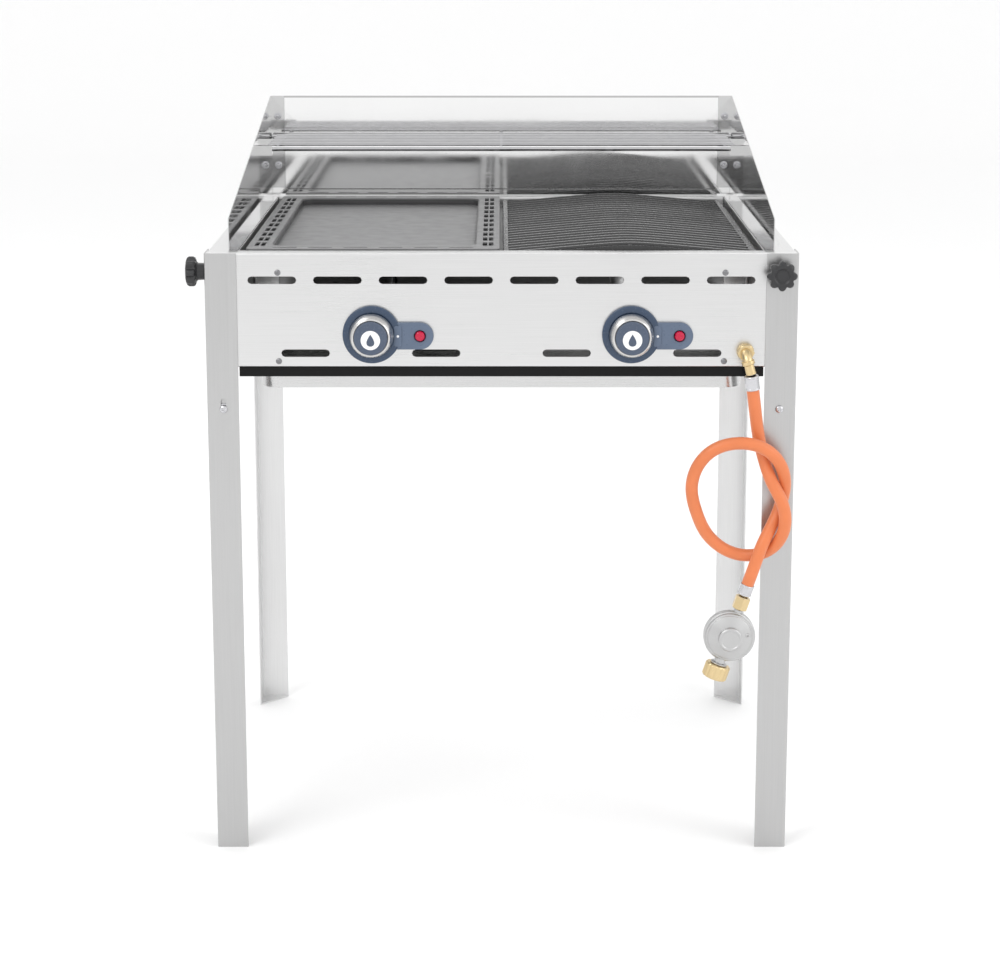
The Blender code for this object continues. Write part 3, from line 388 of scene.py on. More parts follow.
# The recess wall's darker, duller copy of the griddle enamel is painted shade in the sunk floor.
SHADED_WALL_ENAMEL = enamel("griddle_wall_painted_shade", "grey_enamel", 0.06, (0.3, 0.42), shine=0.3)
GRATE_ENAMEL = enamel("grate_enamel", "black_enamel", 0.03, (0.2, 0.32), (1.0, 1.0, 1.0), 0.12)
FRAME_ENAMEL = enamel("frame_enamel", "black_enamel", 0.006, (0.1, 0.25), (0.2, 1.0, 1.0), 0.1, 0.16)
BEZEL_BLUE = plastic("bezel_plastic", "slate_blue_plastic", (0.034, 0.058, 0.105), (0.2, 0.3), True)
TAB_BLUE = plastic("tab_plastic", "slate_blue_plastic", (0.1, 0.135, 0.2), (0.25, 0.36))
CAP_BLUE = plastic("cap_plastic", "slate_blue_plastic", (0.066, 0.088, 0.135), (0.2, 0.3), True)
RED = plastic("button_plastic", "red_plastic", (0.5, 0.001, 0.04), (0.1, 0.16), False, 0.15)
BLACK = plastic("knob_plastic", "black_plastic", (0.022, 0.022, 0.024), (0.3, 0.42))
WHITE = plastic("printed_white", "black_plastic", (0.85, 0.85, 0.85), (0.35, 0.45))
CERAMIC = plastic("electrode_ceramic", "zinc_steel", (0.83, 0.8, 0.74), (0.25, 0.35))
RUBBER = rubber()


# Making pieces
def publish(name, mesh, finish, body, matrix=None, replaced=()):
    """Link a mesh as a piece of the object that rides on a body and may stand for CAD nodes."""
    piece = bpy.data.objects.new(name, mesh)
    bpy.context.scene.collection.objects.link(piece)
    if matrix is not None:
        piece.matrix_world = matrix
    mesh.materials.clear()
    mesh.materials.append(finish)
    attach(piece, body)
    if replaced:
        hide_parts(*replaced)
    return piece


def mesh_of(bm, name):
    bmesh.ops.recalc_face_normals(bm, faces=bm.faces)
    mesh = bpy.data.meshes.new(name)
    bm.to_mesh(mesh)
    bm.free()
    mesh.shade_smooth()
    mesh.set_sharp_from_angle(angle=SHARP)
    return mesh


def eased(profile, radius, steps=3):
    """Round every inner corner of a profile with an arc, as far as its neighbours allow."""
    points = [Vector(p) for p in profile]
    path = [points[0]]
    for before, corner, after in zip(points, points[1:], points[2:]):
        first, second = before - corner, after - corner
        room = min(first.length, second.length) * 0.45
        angle = first.angle(second)
        if angle > math.radians(175.0):
            path.append(corner)
            continue
        reach = min(radius / math.tan(angle / 2), room)
        a = corner + first.normalized() * reach
        b = corner + second.normalized() * reach
        for i in range(steps + 1):
            t = i / steps
            path.append(a * (1 - t) ** 2 + corner * 2 * t * (1 - t) + b * t**2)
    path.append(points[-1])
    return path


def axis_matrix(base, direction):
    turn = Vector(direction).to_track_quat("Z", "Y").to_matrix().to_4x4()
    return Matrix.Translation(base) @ turn


def turned_mesh(name, profile, steps=64, ease=0.3, limit=None, above=0.0):
    """Spin (radius, height) points round z. A limit says how far out each angle may reach."""
    bm = bmesh.new()
    verts = [bm.verts.new((p[0] * MM, 0.0, p[1] * MM)) for p in eased(profile, ease)]
    edges = [bm.edges.new(pair) for pair in zip(verts, verts[1:])]
    bmesh.ops.spin(
        bm, geom=verts + edges, axis=(0, 0, 1), cent=(0, 0, 0), angle=math.tau, steps=steps,
        use_merge=True,
    )
    bmesh.ops.remove_doubles(bm, verts=bm.verts, dist=1e-7)
    if limit is not None:
        for vert in bm.verts:
            reach = math.hypot(vert.co.x, vert.co.y)
            allowed = limit(math.atan2(vert.co.y, vert.co.x)) * MM
            if reach > max(allowed, above * MM):
                vert.co.x *= allowed / reach
                vert.co.y *= allowed / reach
    return mesh_of(bm, name)


def turned(name, profile, base, direction, finish, body, replaced=(), **how):
    mesh = turned_mesh(name, profile, **how)
    return publish(name, mesh, finish, body, axis_matrix(base, direction), replaced)


def polygon(flats, sides=6):
    """Limit for a nut: the distance to its flats at an angle."""
    sector = math.tau / sides

    def limit(angle):
        return flats / 2 / math.cos((angle % sector) - sector / 2)

    return limit


def lobes(radius, dip, count, sharpness=1.0):
    def limit(angle):
        return radius - dip * (0.5 - 0.5 * math.cos(count * angle)) ** sharpness

    return limit


def nut_profile(across, height, bore, start=0.0):
    """Closed section of a chamfered nut, from its bore's top round the outside and back."""
    corner = across / 2 / math.cos(math.pi / 6)
    flat = across / 2
    rise = (corner - flat) * 0.58
    outer = [(flat, height), ((flat + corner) / 2, height - rise / 2), (corner, height - rise)]
    outer += [(corner, rise), ((flat + corner) / 2, rise / 2), (flat, 0.0)]
    section = [(bore, height * 0.5), (bore, height), *outer, (bore, 0.0), (bore, height * 0.5)]
    return [(r, h + start) for r, h in section]


def nut(name, across, height, bore, base, direction, finish, body, replaced=()):
    profile = nut_profile(across, height, bore)
    mesh = turned_mesh(name, profile, 72, 0.12, polygon(across), bore + 0.6)
    return publish(name, mesh, finish, body, axis_matrix(base, direction), replaced)


def curve_mesh(curve):
    """The mesh that a curve makes, as bmesh."""
    drawn = bpy.data.objects.new(curve.name, curve)
    bpy.context.scene.collection.objects.link(drawn)
    bpy.context.view_layer.update()
    mesh = bpy.data.meshes.new_from_object(
        drawn.evaluated_get(bpy.context.evaluated_depsgraph_get())
    )
    bpy.data.objects.remove(drawn)
    bm = bmesh.new()
    bm.from_mesh(mesh)
    bpy.data.meshes.remove(mesh)
    return bm


def flat_mesh(name, outlines, thickness, edge=0.0, matrix=None):
    """Outlines in millimetres (the first outside, the rest holes), an even thickness, round edges."""
    curve = bpy.data.curves.new(name, "CURVE")
    curve.dimensions = "2D"
    curve.fill_mode = "BOTH"
    curve.extrude = thickness * MM / 2 - edge * MM
    curve.bevel_depth = edge * MM
    curve.bevel_resolution = 2
    curve.offset = -edge * MM
    for outline in outlines:
        spline = curve.splines.new("POLY")
        spline.points.add(len(outline) - 1)
        for point, (a, b) in zip(spline.points, outline):
            point.co = (a * MM, b * MM, 0.0, 1.0)
        spline.use_cyclic_u = True
    bm = curve_mesh(curve)
    bmesh.ops.remove_doubles(bm, verts=bm.verts, dist=1e-6)
    if matrix is not None:
        bmesh.ops.transform(bm, matrix=matrix, verts=bm.verts)
    return mesh_of(bm, name)


def facing_front(x, depth, z):
    """Matrix that stands a flat outline up facing the front, its own x to the right."""
    turn = Matrix.Rotation(math.radians(90.0), 4, "X")
    return Matrix.Translation(place(x, depth, z)) @ turn


def lying(x, depth, z):
    return Matrix.Translation(place(x, depth, z))


def box_mesh(name, low, high, edge=0.3):
    """Box between two corners given in millimetres, with rounded edges."""
    a, b = place(*low), place(*high)
    bm = bmesh.new()
    bmesh.ops.create_cube(bm, size=1.0)
    bmesh.ops.scale(bm, vec=b - a, verts=bm.verts)
    bmesh.ops.translate(bm, vec=(a + b) / 2, verts=bm.verts)
    bmesh.ops.bevel(
        bm, geom=bm.edges, offset=edge * MM, segments=3, profile=0.5, affect="EDGES"
    )
    return mesh_of(bm, name)


def merged(name, meshes):
    """Several meshes as one."""
    bm = bmesh.new()
    for mesh in meshes:
        bm.from_mesh(mesh)
        bpy.data.meshes.remove(mesh)
    mesh = bpy.data.meshes.new(name)
    bm.to_mesh(mesh)
    bm.free()
    mesh.shade_smooth()
    mesh.set_sharp_from_angle(angle=SHARP)
    return mesh


def moved(mesh, matrix):
    mesh.transform(matrix)
    return mesh


def rod_mesh(name, points, radius, sides=12, closed=False, ends=0.0):
    """Round bar along points in metres, with slightly rounded ends."""
    curve = bpy.data.curves.new(name, "CURVE")
    curve.dimensions = "3D"
    curve.bevel_depth = radius * MM
    curve.bevel_resolution = max(sides // 4 - 1, 1)
    curve.use_fill_caps = True
    spline = curve.splines.new("POLY")
    spline.points.add(len(points) - 1)
    for target, point in zip(spline.points, points):
        target.co = (*point, 1.0)
    spline.use_cyclic_u = closed
    if ends:
        spline.points[0].radius = spline.points[-1].radius = ends
    bm = curve_mesh(curve)
    bmesh.ops.remove_doubles(bm, verts=bm.verts, dist=1e-7)
    return mesh_of(bm, name)


def bar_points(start, end, tip):
    """Ends of a bar with a short taper at each tip, in metres."""
    a, b = Vector(start), Vector(end)
    step = (b - a).normalized() * tip * MM
    return [a, a + step, b - step, b]


def cut_mesh(mesh, cutter):
    """Subtract one mesh from another, both in the same coordinates."""
    body = bpy.data.objects.new("cut_body", mesh)
    tool = bpy.data.objects.new("cut_tool", cutter)
    for obj in (body, tool):
        bpy.context.scene.collection.objects.link(obj)
    boolean = body.modifiers.new("cut", "BOOLEAN")
    boolean.operation = "DIFFERENCE"
    boolean.solver = "EXACT"
    boolean.object = tool
    bpy.context.view_layer.update()
    result = bpy.data.meshes.new_from_object(
        body.evaluated_get(bpy.context.evaluated_depsgraph_get())
    )
    for obj in (body, tool):
        bpy.data.objects.remove(obj)
    result.shade_smooth()
    result.set_sharp_from_angle(angle=SHARP)
    return result


def front_cutter(name, low, high):
    """Box cutter for a piece turned round the axis that faces the front, in its coordinates."""
    cutter = box_mesh(name, low, high, 0.05)
    turn = axis_matrix(Vector((0, 0, 0)), (0, -1, 0)).inverted()
    return moved(cutter, turn @ Matrix.Translation(-place(0, 0, 0)))


def rounded_rectangle(a0, b0, a1, b1, radius, steps=8):
    outline = []
    centres = [(a1 - radius, b0 + radius), (a1 - radius, b1 - radius)]
    centres += [(a0 + radius, b1 - radius), (a0 + radius, b0 + radius)]
    for quarter, (a, b) in enumerate(centres):
        for i in range(steps + 1):
            angle = math.radians(90.0) * (quarter - 1 + i / steps)
            outline.append((a + radius * math.cos(angle), b + radius * math.sin(angle)))
    return outline


def circle(a, b, radius, steps=48):
    angles = [math.tau * i / steps for i in range(steps)]
    return [(a + radius * math.cos(t), b + radius * math.sin(t)) for t in angles]


def smooth_curve(route, count):
    """Evenly spaced points on a natural cubic spline through the route."""
    points = np.array(route, dtype=float)
    knots = np.concatenate([[0.0], np.cumsum(np.linalg.norm(np.diff(points, axis=0), axis=1))])
    spans = np.diff(knots)
    size = len(knots)
    system = np.eye(size)
    bends = np.zeros((size, 3))
    for i in range(1, size - 1):
        system[i, i - 1 : i + 2] = spans[i - 1], 2 * (spans[i - 1] + spans[i]), spans[i]
        rise = (points[i + 1] - points[i]) / spans[i]
        bends[i] = 6 * (rise - (points[i] - points[i - 1]) / spans[i - 1])
    second = np.linalg.solve(system, bends)
    where = np.linspace(0.0, knots[-1], count)
    k = np.clip(np.searchsorted(knots, where) - 1, 0, size - 2)
    a = (knots[k + 1] - where)[:, None]
    b = (where - knots[k])[:, None]
    h = spans[k][:, None]
    curve = second[k] * a**3 / (6 * h) + second[k + 1] * b**3 / (6 * h)
    curve += (points[k] / h - second[k] * h / 6) * a
    curve += (points[k + 1] / h - second[k + 1] * h / 6) * b
    return [place(*p) for p in curve]


# Sheet metal that stays as packed
def dress(node, finish, edge=0.25):
    """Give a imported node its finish, and break its edges a little."""
    obj = frame["nodes"][node]
    obj.data.materials.clear()
    obj.data.materials.append(finish)
    obj.data.shade_smooth()
    weld = obj.modifiers.new("weld", "WELD")
    weld.merge_threshold = 1e-6
    if edge:
        bevel = obj.modifiers.new("edges", "BEVEL")
        bevel.width = edge * MM
        bevel.segments = 2
        bevel.limit_method = "ANGLE"
        bevel.angle_limit = math.radians(40.0)
    weighted = obj.modifiers.new("normals", "WEIGHTED_NORMAL")
    weighted.keep_sharp = False


def sheet_metal():
    for node in ("front_panel", "centre_rail"):
        dress(node, PANEL_STEEL)
    for side in SIDES:
        dress(f"side_panel_{side}", SIDE_STEEL)
        dress(f"windshield_{side}", MIRROR_SIDE, 0.2)
        dress(f"gas_valve_{side}", BRASS, 0.6)
    dress("windshield_back", MIRROR_BACK, 0.2)
    dress("rear_panel", REAR_STEEL)
    for corner in CORNERS:
        # Front legs and brackets take the darker painted-shade copy of the leg steel, rear ones the
        # lighter painted-light copy.
        leg_steel = SHADED_FRONT_LEG_STEEL if corner.startswith("front") else LIT_REAR_LEG_STEEL
        dress(f"leg_{corner}", leg_steel)
        dress(f"corner_bracket_{corner}", leg_steel)
    dress("drip_tray", TRAY_STEEL, 0.2)
    dress("tray_frame", FRAME_ENAMEL, 0.2)


# Gas hose and what is on it
HOSE_ROUTE = [
    (275, -22, 540), (279, -19, 511), (284, -16, 481), (290, -18, 458), (297.5, -28, 437),
    (308, -36, 416), (312, -35.5, 390), (305, -29, 368.5), (293.5, -23.5, 357), (278, -18, 351),
    (256, -13.5, 353), (230.5, -14.5, 371.5), (216, -24, 400), (209.5, -27, 428), (216, -30, 456),
    (234, -33, 475), (258, -35, 482), (283, -34.5, 478), (303, -30, 462), (312, -24, 438),
    (310, -20, 414), (301, -24, 391), (288, -34, 367.5), (279, -35.5, 342), (272.5, -33, 321.5),
]
HOSE_RADIUS = 7.0
REGULATOR_AXIS = Vector((0.32, 0.0, 0.947)).normalized()


def gas_hose():
    points = smooth_curve(HOSE_ROUTE, 260)
    curve = bpy.data.curves.new("rubber_gas_hose", "CURVE")
    curve.dimensions = "3D"
    curve.bevel_depth = HOSE_RADIUS * MM
    curve.bevel_resolution = 6
    curve.use_fill_caps = True
    spline = curve.splines.new("POLY")
    spline.points.add(len(points) - 1)
    for target, point in zip(spline.points, points):
        target.co = (*point, 1.0)
    spline.use_smooth = True
    hose = bpy.data.objects.new("rubber_gas_hose", curve)
    bpy.context.scene.collection.objects.link(hose)
    curve.materials.append(RUBBER)
    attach(hose, BODY_OF["gas_hose"])
    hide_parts("gas_hose")
    return hose, points


def ferrule(name, base, direction, length, node):
    """Crimped sleeve: eight pressed flats between two plain rims."""
    rim, waist = 7.9, 7.75
    profile = [(6.2, 0.4), (7.5, 0.4), (rim, 0.9), (rim, 2.2), (waist, 2.8), (waist, length - 2.4)]
    profile += [(rim, length - 1.8), (rim, length - 0.6), (7.4, length), (5.2, length)]
    profile += [(5.2, length - 1.0)]
    mesh = turned_mesh(name, profile, 96, 0.2)
    flats = polygon(14.9, 8)
    for vert in mesh.vertices:
        reach = math.hypot(vert.co.x, vert.co.y) / MM
        if 2.5 < vert.co.z / MM < length - 2.0 and reach > 6.5:
            scale = min(flats(math.atan2(vert.co.y, vert.co.x)), reach) / reach
            vert.co.x *= scale
            vert.co.y *= scale
    mesh.set_sharp_from_angle(angle=math.radians(22.0))
    matrix = axis_matrix(base, direction)
    return publish(name, mesh, ZINC, BODY_OF[node], matrix, (node,))


def inlet_elbow():
    """Brass elbow: collar nut on the panel, bent body with a hexagon, and a tail into the hose."""
    body = BODY_OF["gas_inlet_elbow"]
    x, z = 268.0, 578.0
    pieces = []
    bend = [(x, 26.0, z), (x, 0.0, z), (x, -8.0, z), (x, -14.0, z - 0.6), (x + 0.4, -18.5, z - 3.2)]
    bend += [(x + 1.2, -21.2, z - 7.4), (x + 2.4, -22.0, z - 12.5), (x + 5.0, -22.0, z - 21.4)]
    tube = rod_mesh("elbow_body", smooth_curve(bend, 40), 5.6, 24)
    pieces.append(publish("elbow_body", tube, BRASS, body, None, ("gas_inlet_elbow",)))
    base = place(x, 0.0, z)
    collar = turned(
        "elbow_collar", [(5.4, 1.2), (9.6, 1.2), (9.6, -4.6), (8.6, -5.8), (5.4, -5.8)],
        base, (0, 1, 0), BRASS, body, ease=0.4, steps=120, limit=lobes(9.6, 0.55, 30), above=7.0,
    )
    pieces.append(collar)
    pieces.append(
        nut("elbow_nut", 16.6, 5.6, 5.0, place(x, -6.1, z), (0, -1, 0), BRASS, body)
    )
    down = (place(*bend[-1]) - place(*bend[-2])).normalized()
    ring = place(x + 1.5, -21.6, z - 9.0)
    pieces.append(
        turned(
            "elbow_shoulder", [(4.6, 2.2), (7.1, 2.2), (7.1, -1.6), (5.9, -2.6), (4.6, -2.6)],
            ring, -down, BRASS, body, ease=0.5,
        )
    )
    return pieces


def regulator():
    """Low-pressure regulator: two-rimmed die-cast disc, off-centre cap, neck and union nut."""
    body = BODY_OF["regulator_body"]
    centre = place(253.2, -33.0, 262.9)
    axis = REGULATOR_AXIS
    profile = [(0.0, 14.6), (12.0, 14.4), (14.6, 13.4), (24.2, 9.6), (25.0, 8.4), (26.2, 8.6)]
    profile += [(27.0, 7.4), (27.0, 5.6), (28.6, 5.0), (28.6, 0.9), (28.2, 0.5), (28.6, 0.1)]
    profile += [(28.6, -3.6), (26.0, -7.6), (17.5, -12.4), (12.0, -13.6), (0.0, -13.9)]
    pieces = [
        turned("regulator_housing", profile, centre, (0, -1, 0), ALLOY, body,
               ("regulator_body",), steps=96, ease=0.6)
    ]
    cap = [(0.0, 18.7), (9.8, 18.9), (10.4, 19.4), (12.2, 19.4), (13.3, 18.4), (13.5, 14.0)]
    cap += [(0.0, 14.0)]
    pieces.append(
        turned("regulator_screw_cap", cap, middle("regulator_cap") + Vector((0, 17.4 * MM, 0)),
               (0, -1, 0), ALLOY, BODY_OF["regulator_cap"], ("regulator_cap",), steps=96, ease=0.4,
               limit=lobes(13.5, 0.35, 24, 2.0), above=11.0)
    )
    neck = [(0.0, 32.2), (4.2, 32.2), (4.9, 31.4), (4.9, 22.0), (6.6, 22.0), (6.6, -22.0)]
    neck += [(6.2, -23.0), (6.2, -32.4), (9.4, -33.0), (9.4, -34.5), (0.0, -34.5)]
    pieces.append(turned("regulator_neck", neck, centre, axis, ALLOY, body, ease=0.4))
    across = Vector((0, -1, 0)).cross(axis)
    vent = centre - across * 17.5 * MM + axis * 9.0 * MM + Vector((0, -11.3 * MM, 0))
    lip = [(0.9, 0.0), (0.9, 1.2), (2.1, 1.2), (2.6, 0.5), (2.6, -1.2), (0.9, -1.2)]
    pieces.append(
        turned("regulator_vent", lip, vent, (0, -1, 0), ALLOY, body, ease=0.2, steps=32)
    )
    pieces.append(
        nut("hose_union_nut", 15.4, 14.2, 5.2, centre + axis * 32.6 * MM, axis, BRASS,
            BODY_OF["hose_nut"], ("hose_nut",))
    )
    union = [(10.6, -38.2), (10.6, -51.0), (12.9, -51.0), (14.2, -49.4), (14.2, -36.6), (12.8, -35.0)]
    union += [(6.8, -35.0), (6.8, -37.4), (10.6, -38.2)]
    pieces.append(
        turned("cylinder_union_nut", union, centre, axis, BRASS, BODY_OF["cylinder_nut"],
               ("cylinder_nut",), steps=144, ease=0.3, limit=lobes(14.2, 0.9, 12, 3.0), above=11.4)
    )
    return pieces


def gas_line():
    hose, points = gas_hose()
    up = (points[0] - points[1]).normalized()
    down = (points[-1] - points[-2]).normalized()
    pieces = inlet_elbow()
    for end, tip, way, length in (
        ("upper", points[0], up, 16.4),
        ("lower", points[-1], down, 13.2),
    ):
        pieces.append(
            ferrule(f"crimp_sleeve_{end}", tip - way * MM, way, length, f"hose_ferrule_{end}")
        )
    pieces += regulator()


# Controls
def bezel(name):
    """Round bezel with fine rings, its tab, index dot and the cuff round the igniter button."""
    node = f"knob_bezel_{name}"
    body = BODY_OF[node]
    knob = middle(f"control_knob_{name}")
    x, z = knob.x / MM, knob.z / MM
    button = middle(f"igniter_button_{name}")
    reach, button_z = (button.x - knob.x) / MM, button.z / MM
    disc = [(6.5, -1.5), (6.5, 3.4), (24.2, 3.4), (24.9, 4.4), (31.0, 3.5), (31.7, 2.8)]
    disc += [(32.0, 1.8), (32.0, -1.5), (6.5, -1.5)]
    turned(f"bezel_ring_{name}", disc, place(x, 0, z), (0, -1, 0), BEZEL_BLUE, body, (node,),
           steps=128, ease=0.5)
    half = 15.0
    outline = [(28.0, -half), *[
        (reach + half * math.cos(math.radians(a)), half * math.sin(math.radians(a)))
        for a in range(-90, 91, 6)
    ], (28.0, half)]
    tab = flat_mesh("tab", [outline, circle(reach, 0.0, 6.4)], 4.7, 0.9)
    publish(f"bezel_tab_{name}", tab, TAB_BLUE, body, facing_front(x, -0.85, button_z))
    publish(
        f"bezel_step_{name}",
        flat_mesh("step", [rounded_rectangle(24.5, -11.5, 33.0, 11.5, 2.5)], 3.9, 0.5),
        TAB_BLUE, body, facing_front(x, -2.5, button_z),
    )
    dot = [(0.0, 0.35), (1.25, 0.3), (1.45, 0.0), (1.45, -0.4), (0.0, -0.4)]
    turned(f"index_dot_{name}", dot, place(x + 28.9, -4.4, button_z), (0, -1, 0), WHITE, body,
           steps=32, ease=0.1)


def control_knob(name):
    """Satin metal knob: rolled front lip, tapered skirt with a pointer notch, plastic cap."""
    node = f"control_knob_{name}"
    knob = middle(node)
    x, z = knob.x / MM, knob.z / MM
    base = place(x, 0, z)
    skirt = [(4.4, 18.4), (4.4, 22.6), (18.7, 22.6), (18.9, 24.0), (20.0, 24.0), (21.0, 23.2)]
    skirt += [(22.0, 20.4), (22.3, 19.6), (24.3, 10.4), (24.5, 9.2), (24.2, 8.3), (22.8, 8.3)]
    skirt += [(22.2, 12.0), (12.0, 14.0), (4.4, 14.0), (4.4, 18.4)]
    mesh = turned_mesh(node, skirt, 128, 0.35)
    mesh = cut_mesh(mesh, front_cutter("notch", (-0.45, -25.0, 19.4), (0.45, -22.9, 22.5)))
    publish(f"knob_skirt_{name}", mesh, SATIN, BODY_OF[node], axis_matrix(base, (0, -1, 0)), (node,))
    cap = [(0.0, 28.8), (16.0, 28.8), (17.4, 28.5), (18.3, 27.3), (18.5, 24.4), (18.5, 22.7)]
    cap += [(0.0, 22.7)]
    cap_node = f"knob_cap_{name}"
    turned(f"knob_face_{name}", cap, base, (0, -1, 0), CAP_BLUE, BODY_OF[cap_node], (cap_node,),
           steps=96, ease=0.6)
    publish(f"flame_mark_{name}", flame_mark(), WHITE, BODY_OF[cap_node],
            facing_front(x, -28.85, z))


def flame_mark():
    """Plain round mark with a drop-shaped flame left open in it."""
    flame = []
    for i in range(40):
        t = math.tau * i / 40
        flame.append((6.0 * math.sin(t) * math.sin(t / 2) ** 1.35, 6.8 * math.cos(t) - 1.6))
    return flat_mesh("flame", [circle(0.0, -1.6, 10.6, 64), flame], 0.3, 0.05)


def igniter(name):
    node = f"igniter_{name}"
    button_node = f"igniter_button_{name}"
    spot = middle(button_node)
    base = Vector((spot.x, FACE_Y, spot.z))
    button = [(0.0, 6.6), (2.4, 6.5), (4.6, 5.7), (5.4, 4.2), (5.6, 2.6), (5.6, -10.0), (0.0, -10.0)]
    turned(f"spark_button_{name}", button, base, (0, -1, 0), RED, BODY_OF[button_node],
           (button_node,), ease=0.8)
    barrel = [(5.9, 0.4), (5.95, 1.4), (6.2, 1.4), (6.2, -3.6), (9.4, -3.8), (9.4, -9.0), (8.0, -9.6)]
    barrel += [(8.0, -38.0), (5.0, -42.0), (0.0, -42.0), (0.0, -16.0), (5.9, -16.0), (5.9, 0.4)]
    turned(f"spark_barrel_{name}", barrel, base, (0, -1, 0), BLACK, BODY_OF[node], (node,), ease=0.3)
    lead_node = f"ignition_lead_{name}"
    x, z = spot.x / MM, spot.z / MM
    lead = [(x, 42.4, z), (x, 60.0, z), (x - 2.0, 75.0, 592.0), (x - 8.0, 92.0, 590.0)]
    lead += [(x - 18.0, 108.0, 596.0), (x - 26.0, 122.0, 608.0), (x - 31.0, 140.0, 622.0)]
    lead += [(x - 33.0, 160.0, 636.0), (x - 36.0, 178.0, 642.0)]
    points = smooth_curve(lead, 70)
    publish(f"spark_lead_{name}", rod_mesh("lead", points, 1.4, 12), BLACK, BODY_OF[lead_node],
            None, (lead_node,))
    aim = (points[-1] - points[-2]).normalized()
    electrode = [(0.0, 9.0), (0.9, 9.0), (0.9, 2.0), (2.4, 2.0), (2.9, 1.0), (2.9, -8.0)]
    electrode += [(2.3, -9.0), (0.0, -9.0)]
    turned(f"spark_electrode_{name}", electrode, points[-1] - aim * 0.004, aim, CERAMIC,
           BODY_OF[lead_node], ease=0.2, steps=32)


def controls():
    for name in SIDES:
        bezel(name)
        control_knob(name)
        igniter(name)
        node = f"valve_stem_{name}"
        spot = middle(node)
        base = Vector((spot.x, FACE_Y, spot.z))
        stem = [(0.0, 18.0), (3.4, 18.0), (4.0, 17.4), (4.0, -30.4), (3.4, -31.0), (0.0, -31.0)]
        mesh = turned_mesh(node, stem, 64, 0.2)
        flat = front_cutter("flat", (-6.0, -20.0, 2.6), (6.0, -4.0, 8.0))
        publish(f"valve_spindle_{name}", cut_mesh(mesh, flat), ZINC, BODY_OF[node],
                axis_matrix(base, (0, -1, 0)), (node,))


# Fasteners
def screw_head(radius, height, recess):
    """Pan head with a cross recess, in its own coordinates, its top towards +z."""
    profile = [(0.0, height), (radius * 0.55, height * 0.97), (radius * 0.86, height * 0.72)]
    profile += [(radius, height * 0.3), (radius, 0.0), (0.0, 0.0)]
    mesh = turned_mesh("head", profile, 48, 0.25)
    for turn in (0.0, 90.0):
        bm = bmesh.new()
        shape = Matrix.Rotation(math.radians(turn), 4, "Z")
        shape = shape @ Matrix.Translation((0, 0, height * MM))
        size = Matrix.Diagonal((recess * 2 * MM, recess * 0.42 * MM, height * 1.1 * MM, 1.0))
        bmesh.ops.create_cube(bm, size=1.0, matrix=shape @ size)
        cutter = bpy.data.meshes.new("recess")
        bm.to_mesh(cutter)
        bm.free()
        mesh = cut_mesh(mesh, cutter)
    return mesh


def panel_screws():
    """Four small screws that hold the heat shield behind the front panel."""
    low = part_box("front_panel")[0]
    for i, (x, z) in enumerate([(-245, 665), (245, 665), (-245, 566.5), (245, 566.5)]):
        matrix = axis_matrix(Vector((x * MM, low.y, z * MM)), (0, -1, 0))
        matrix = matrix @ Matrix.Rotation(0.5 + 0.9 * i, 4, "Z")
        publish(f"panel_screw_{i + 1}", screw_head(3.4, 1.9, 2.2), SCREW_STEEL, "housing", matrix)


def leg_pivots():
    for corner, (_, sy) in CORNERS.items():
        node = f"leg_pivot_screw_{corner}"
        body = BODY_OF[node]
        spot = middle(node)
        face = FACE_Y if sy < 0 else BACK_Y
        base = Vector((spot.x, face, spot.z))
        out = Vector((0, sy, 0))
        matrix = axis_matrix(base + out * 0.3 * MM, out) @ Matrix.Rotation(0.6, 4, "Z")
        publish(f"pivot_head_{corner}", screw_head(4.4, 2.8, 2.5), ZINC, body, matrix, (node,))
        shank = [(0.0, 0.6), (2.6, 0.6), (2.6, -10.0), (2.2, -10.4), (0.0, -10.4)]
        turned(f"pivot_shank_{corner}", shank, base, out, ZINC, body, steps=32, ease=0.2)
        washer = [(2.6, -1.8), (6.0, -1.8), (6.0, -3.0), (2.6, -3.0), (2.6, -1.8)]
        turned(f"pivot_washer_{corner}", washer, base, out, ZINC, body, steps=48, ease=0.15)
        nut(f"pivot_nut_{corner}", 8.0, 4.6, 2.5, base - out * 9.9 * MM, out, ZINC, body)


def star_knobs():
    """Eight-lobed hand knob: crowned head, dished middle, stepped hub, and its threaded stud."""
    face = [(0.0, 19.6), (7.2, 19.6), (8.2, 20.6), (9.2, 21.3), (12.5, 21.5), (15.2, 20.4)]
    face += [(16.6, 18.2), (16.6, 13.6), (15.4, 11.6), (12.8, 10.6), (11.2, 10.2), (9.6, 8.6)]
    face += [(9.2, 1.6), (8.6, 0.3), (0.0, 0.3)]
    stud = [(0.0, 2.0), (3.0, 2.0), (3.0, -11.4), (2.4, -12.0), (0.0, -12.0)]
    for corner, (sx, sy) in CORNERS.items():
        node = f"star_knob_{corner}"
        spot = middle(node)
        if sx * sy > 0:
            out = Vector((sx, 0, 0))
            base = Vector((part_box(f"leg_{corner}")[sx > 0].x, spot.y, spot.z))
        else:
            out = Vector((0, sy, 0))
            base = Vector((spot.x, FACE_Y if sy < 0 else BACK_Y, spot.z))
        body = BODY_OF[node]
        turned(f"hand_knob_{corner}", face, base, out, BLACK, body, (node,), steps=192, ease=0.8,
               limit=lobes(16.6, 3.6, 8, 1.5), above=9.8)
        button = [(0.0, 20.5), (4.6, 20.3), (6.2, 19.9), (6.6, 19.2), (0.0, 19.2)]
        turned(f"hand_knob_plug_{corner}", button, base, out, BLACK, body, ease=0.3)
        turned(f"hand_knob_stud_{corner}", threaded(stud, 0.7), base, out, ZINC, body, ease=0.1)


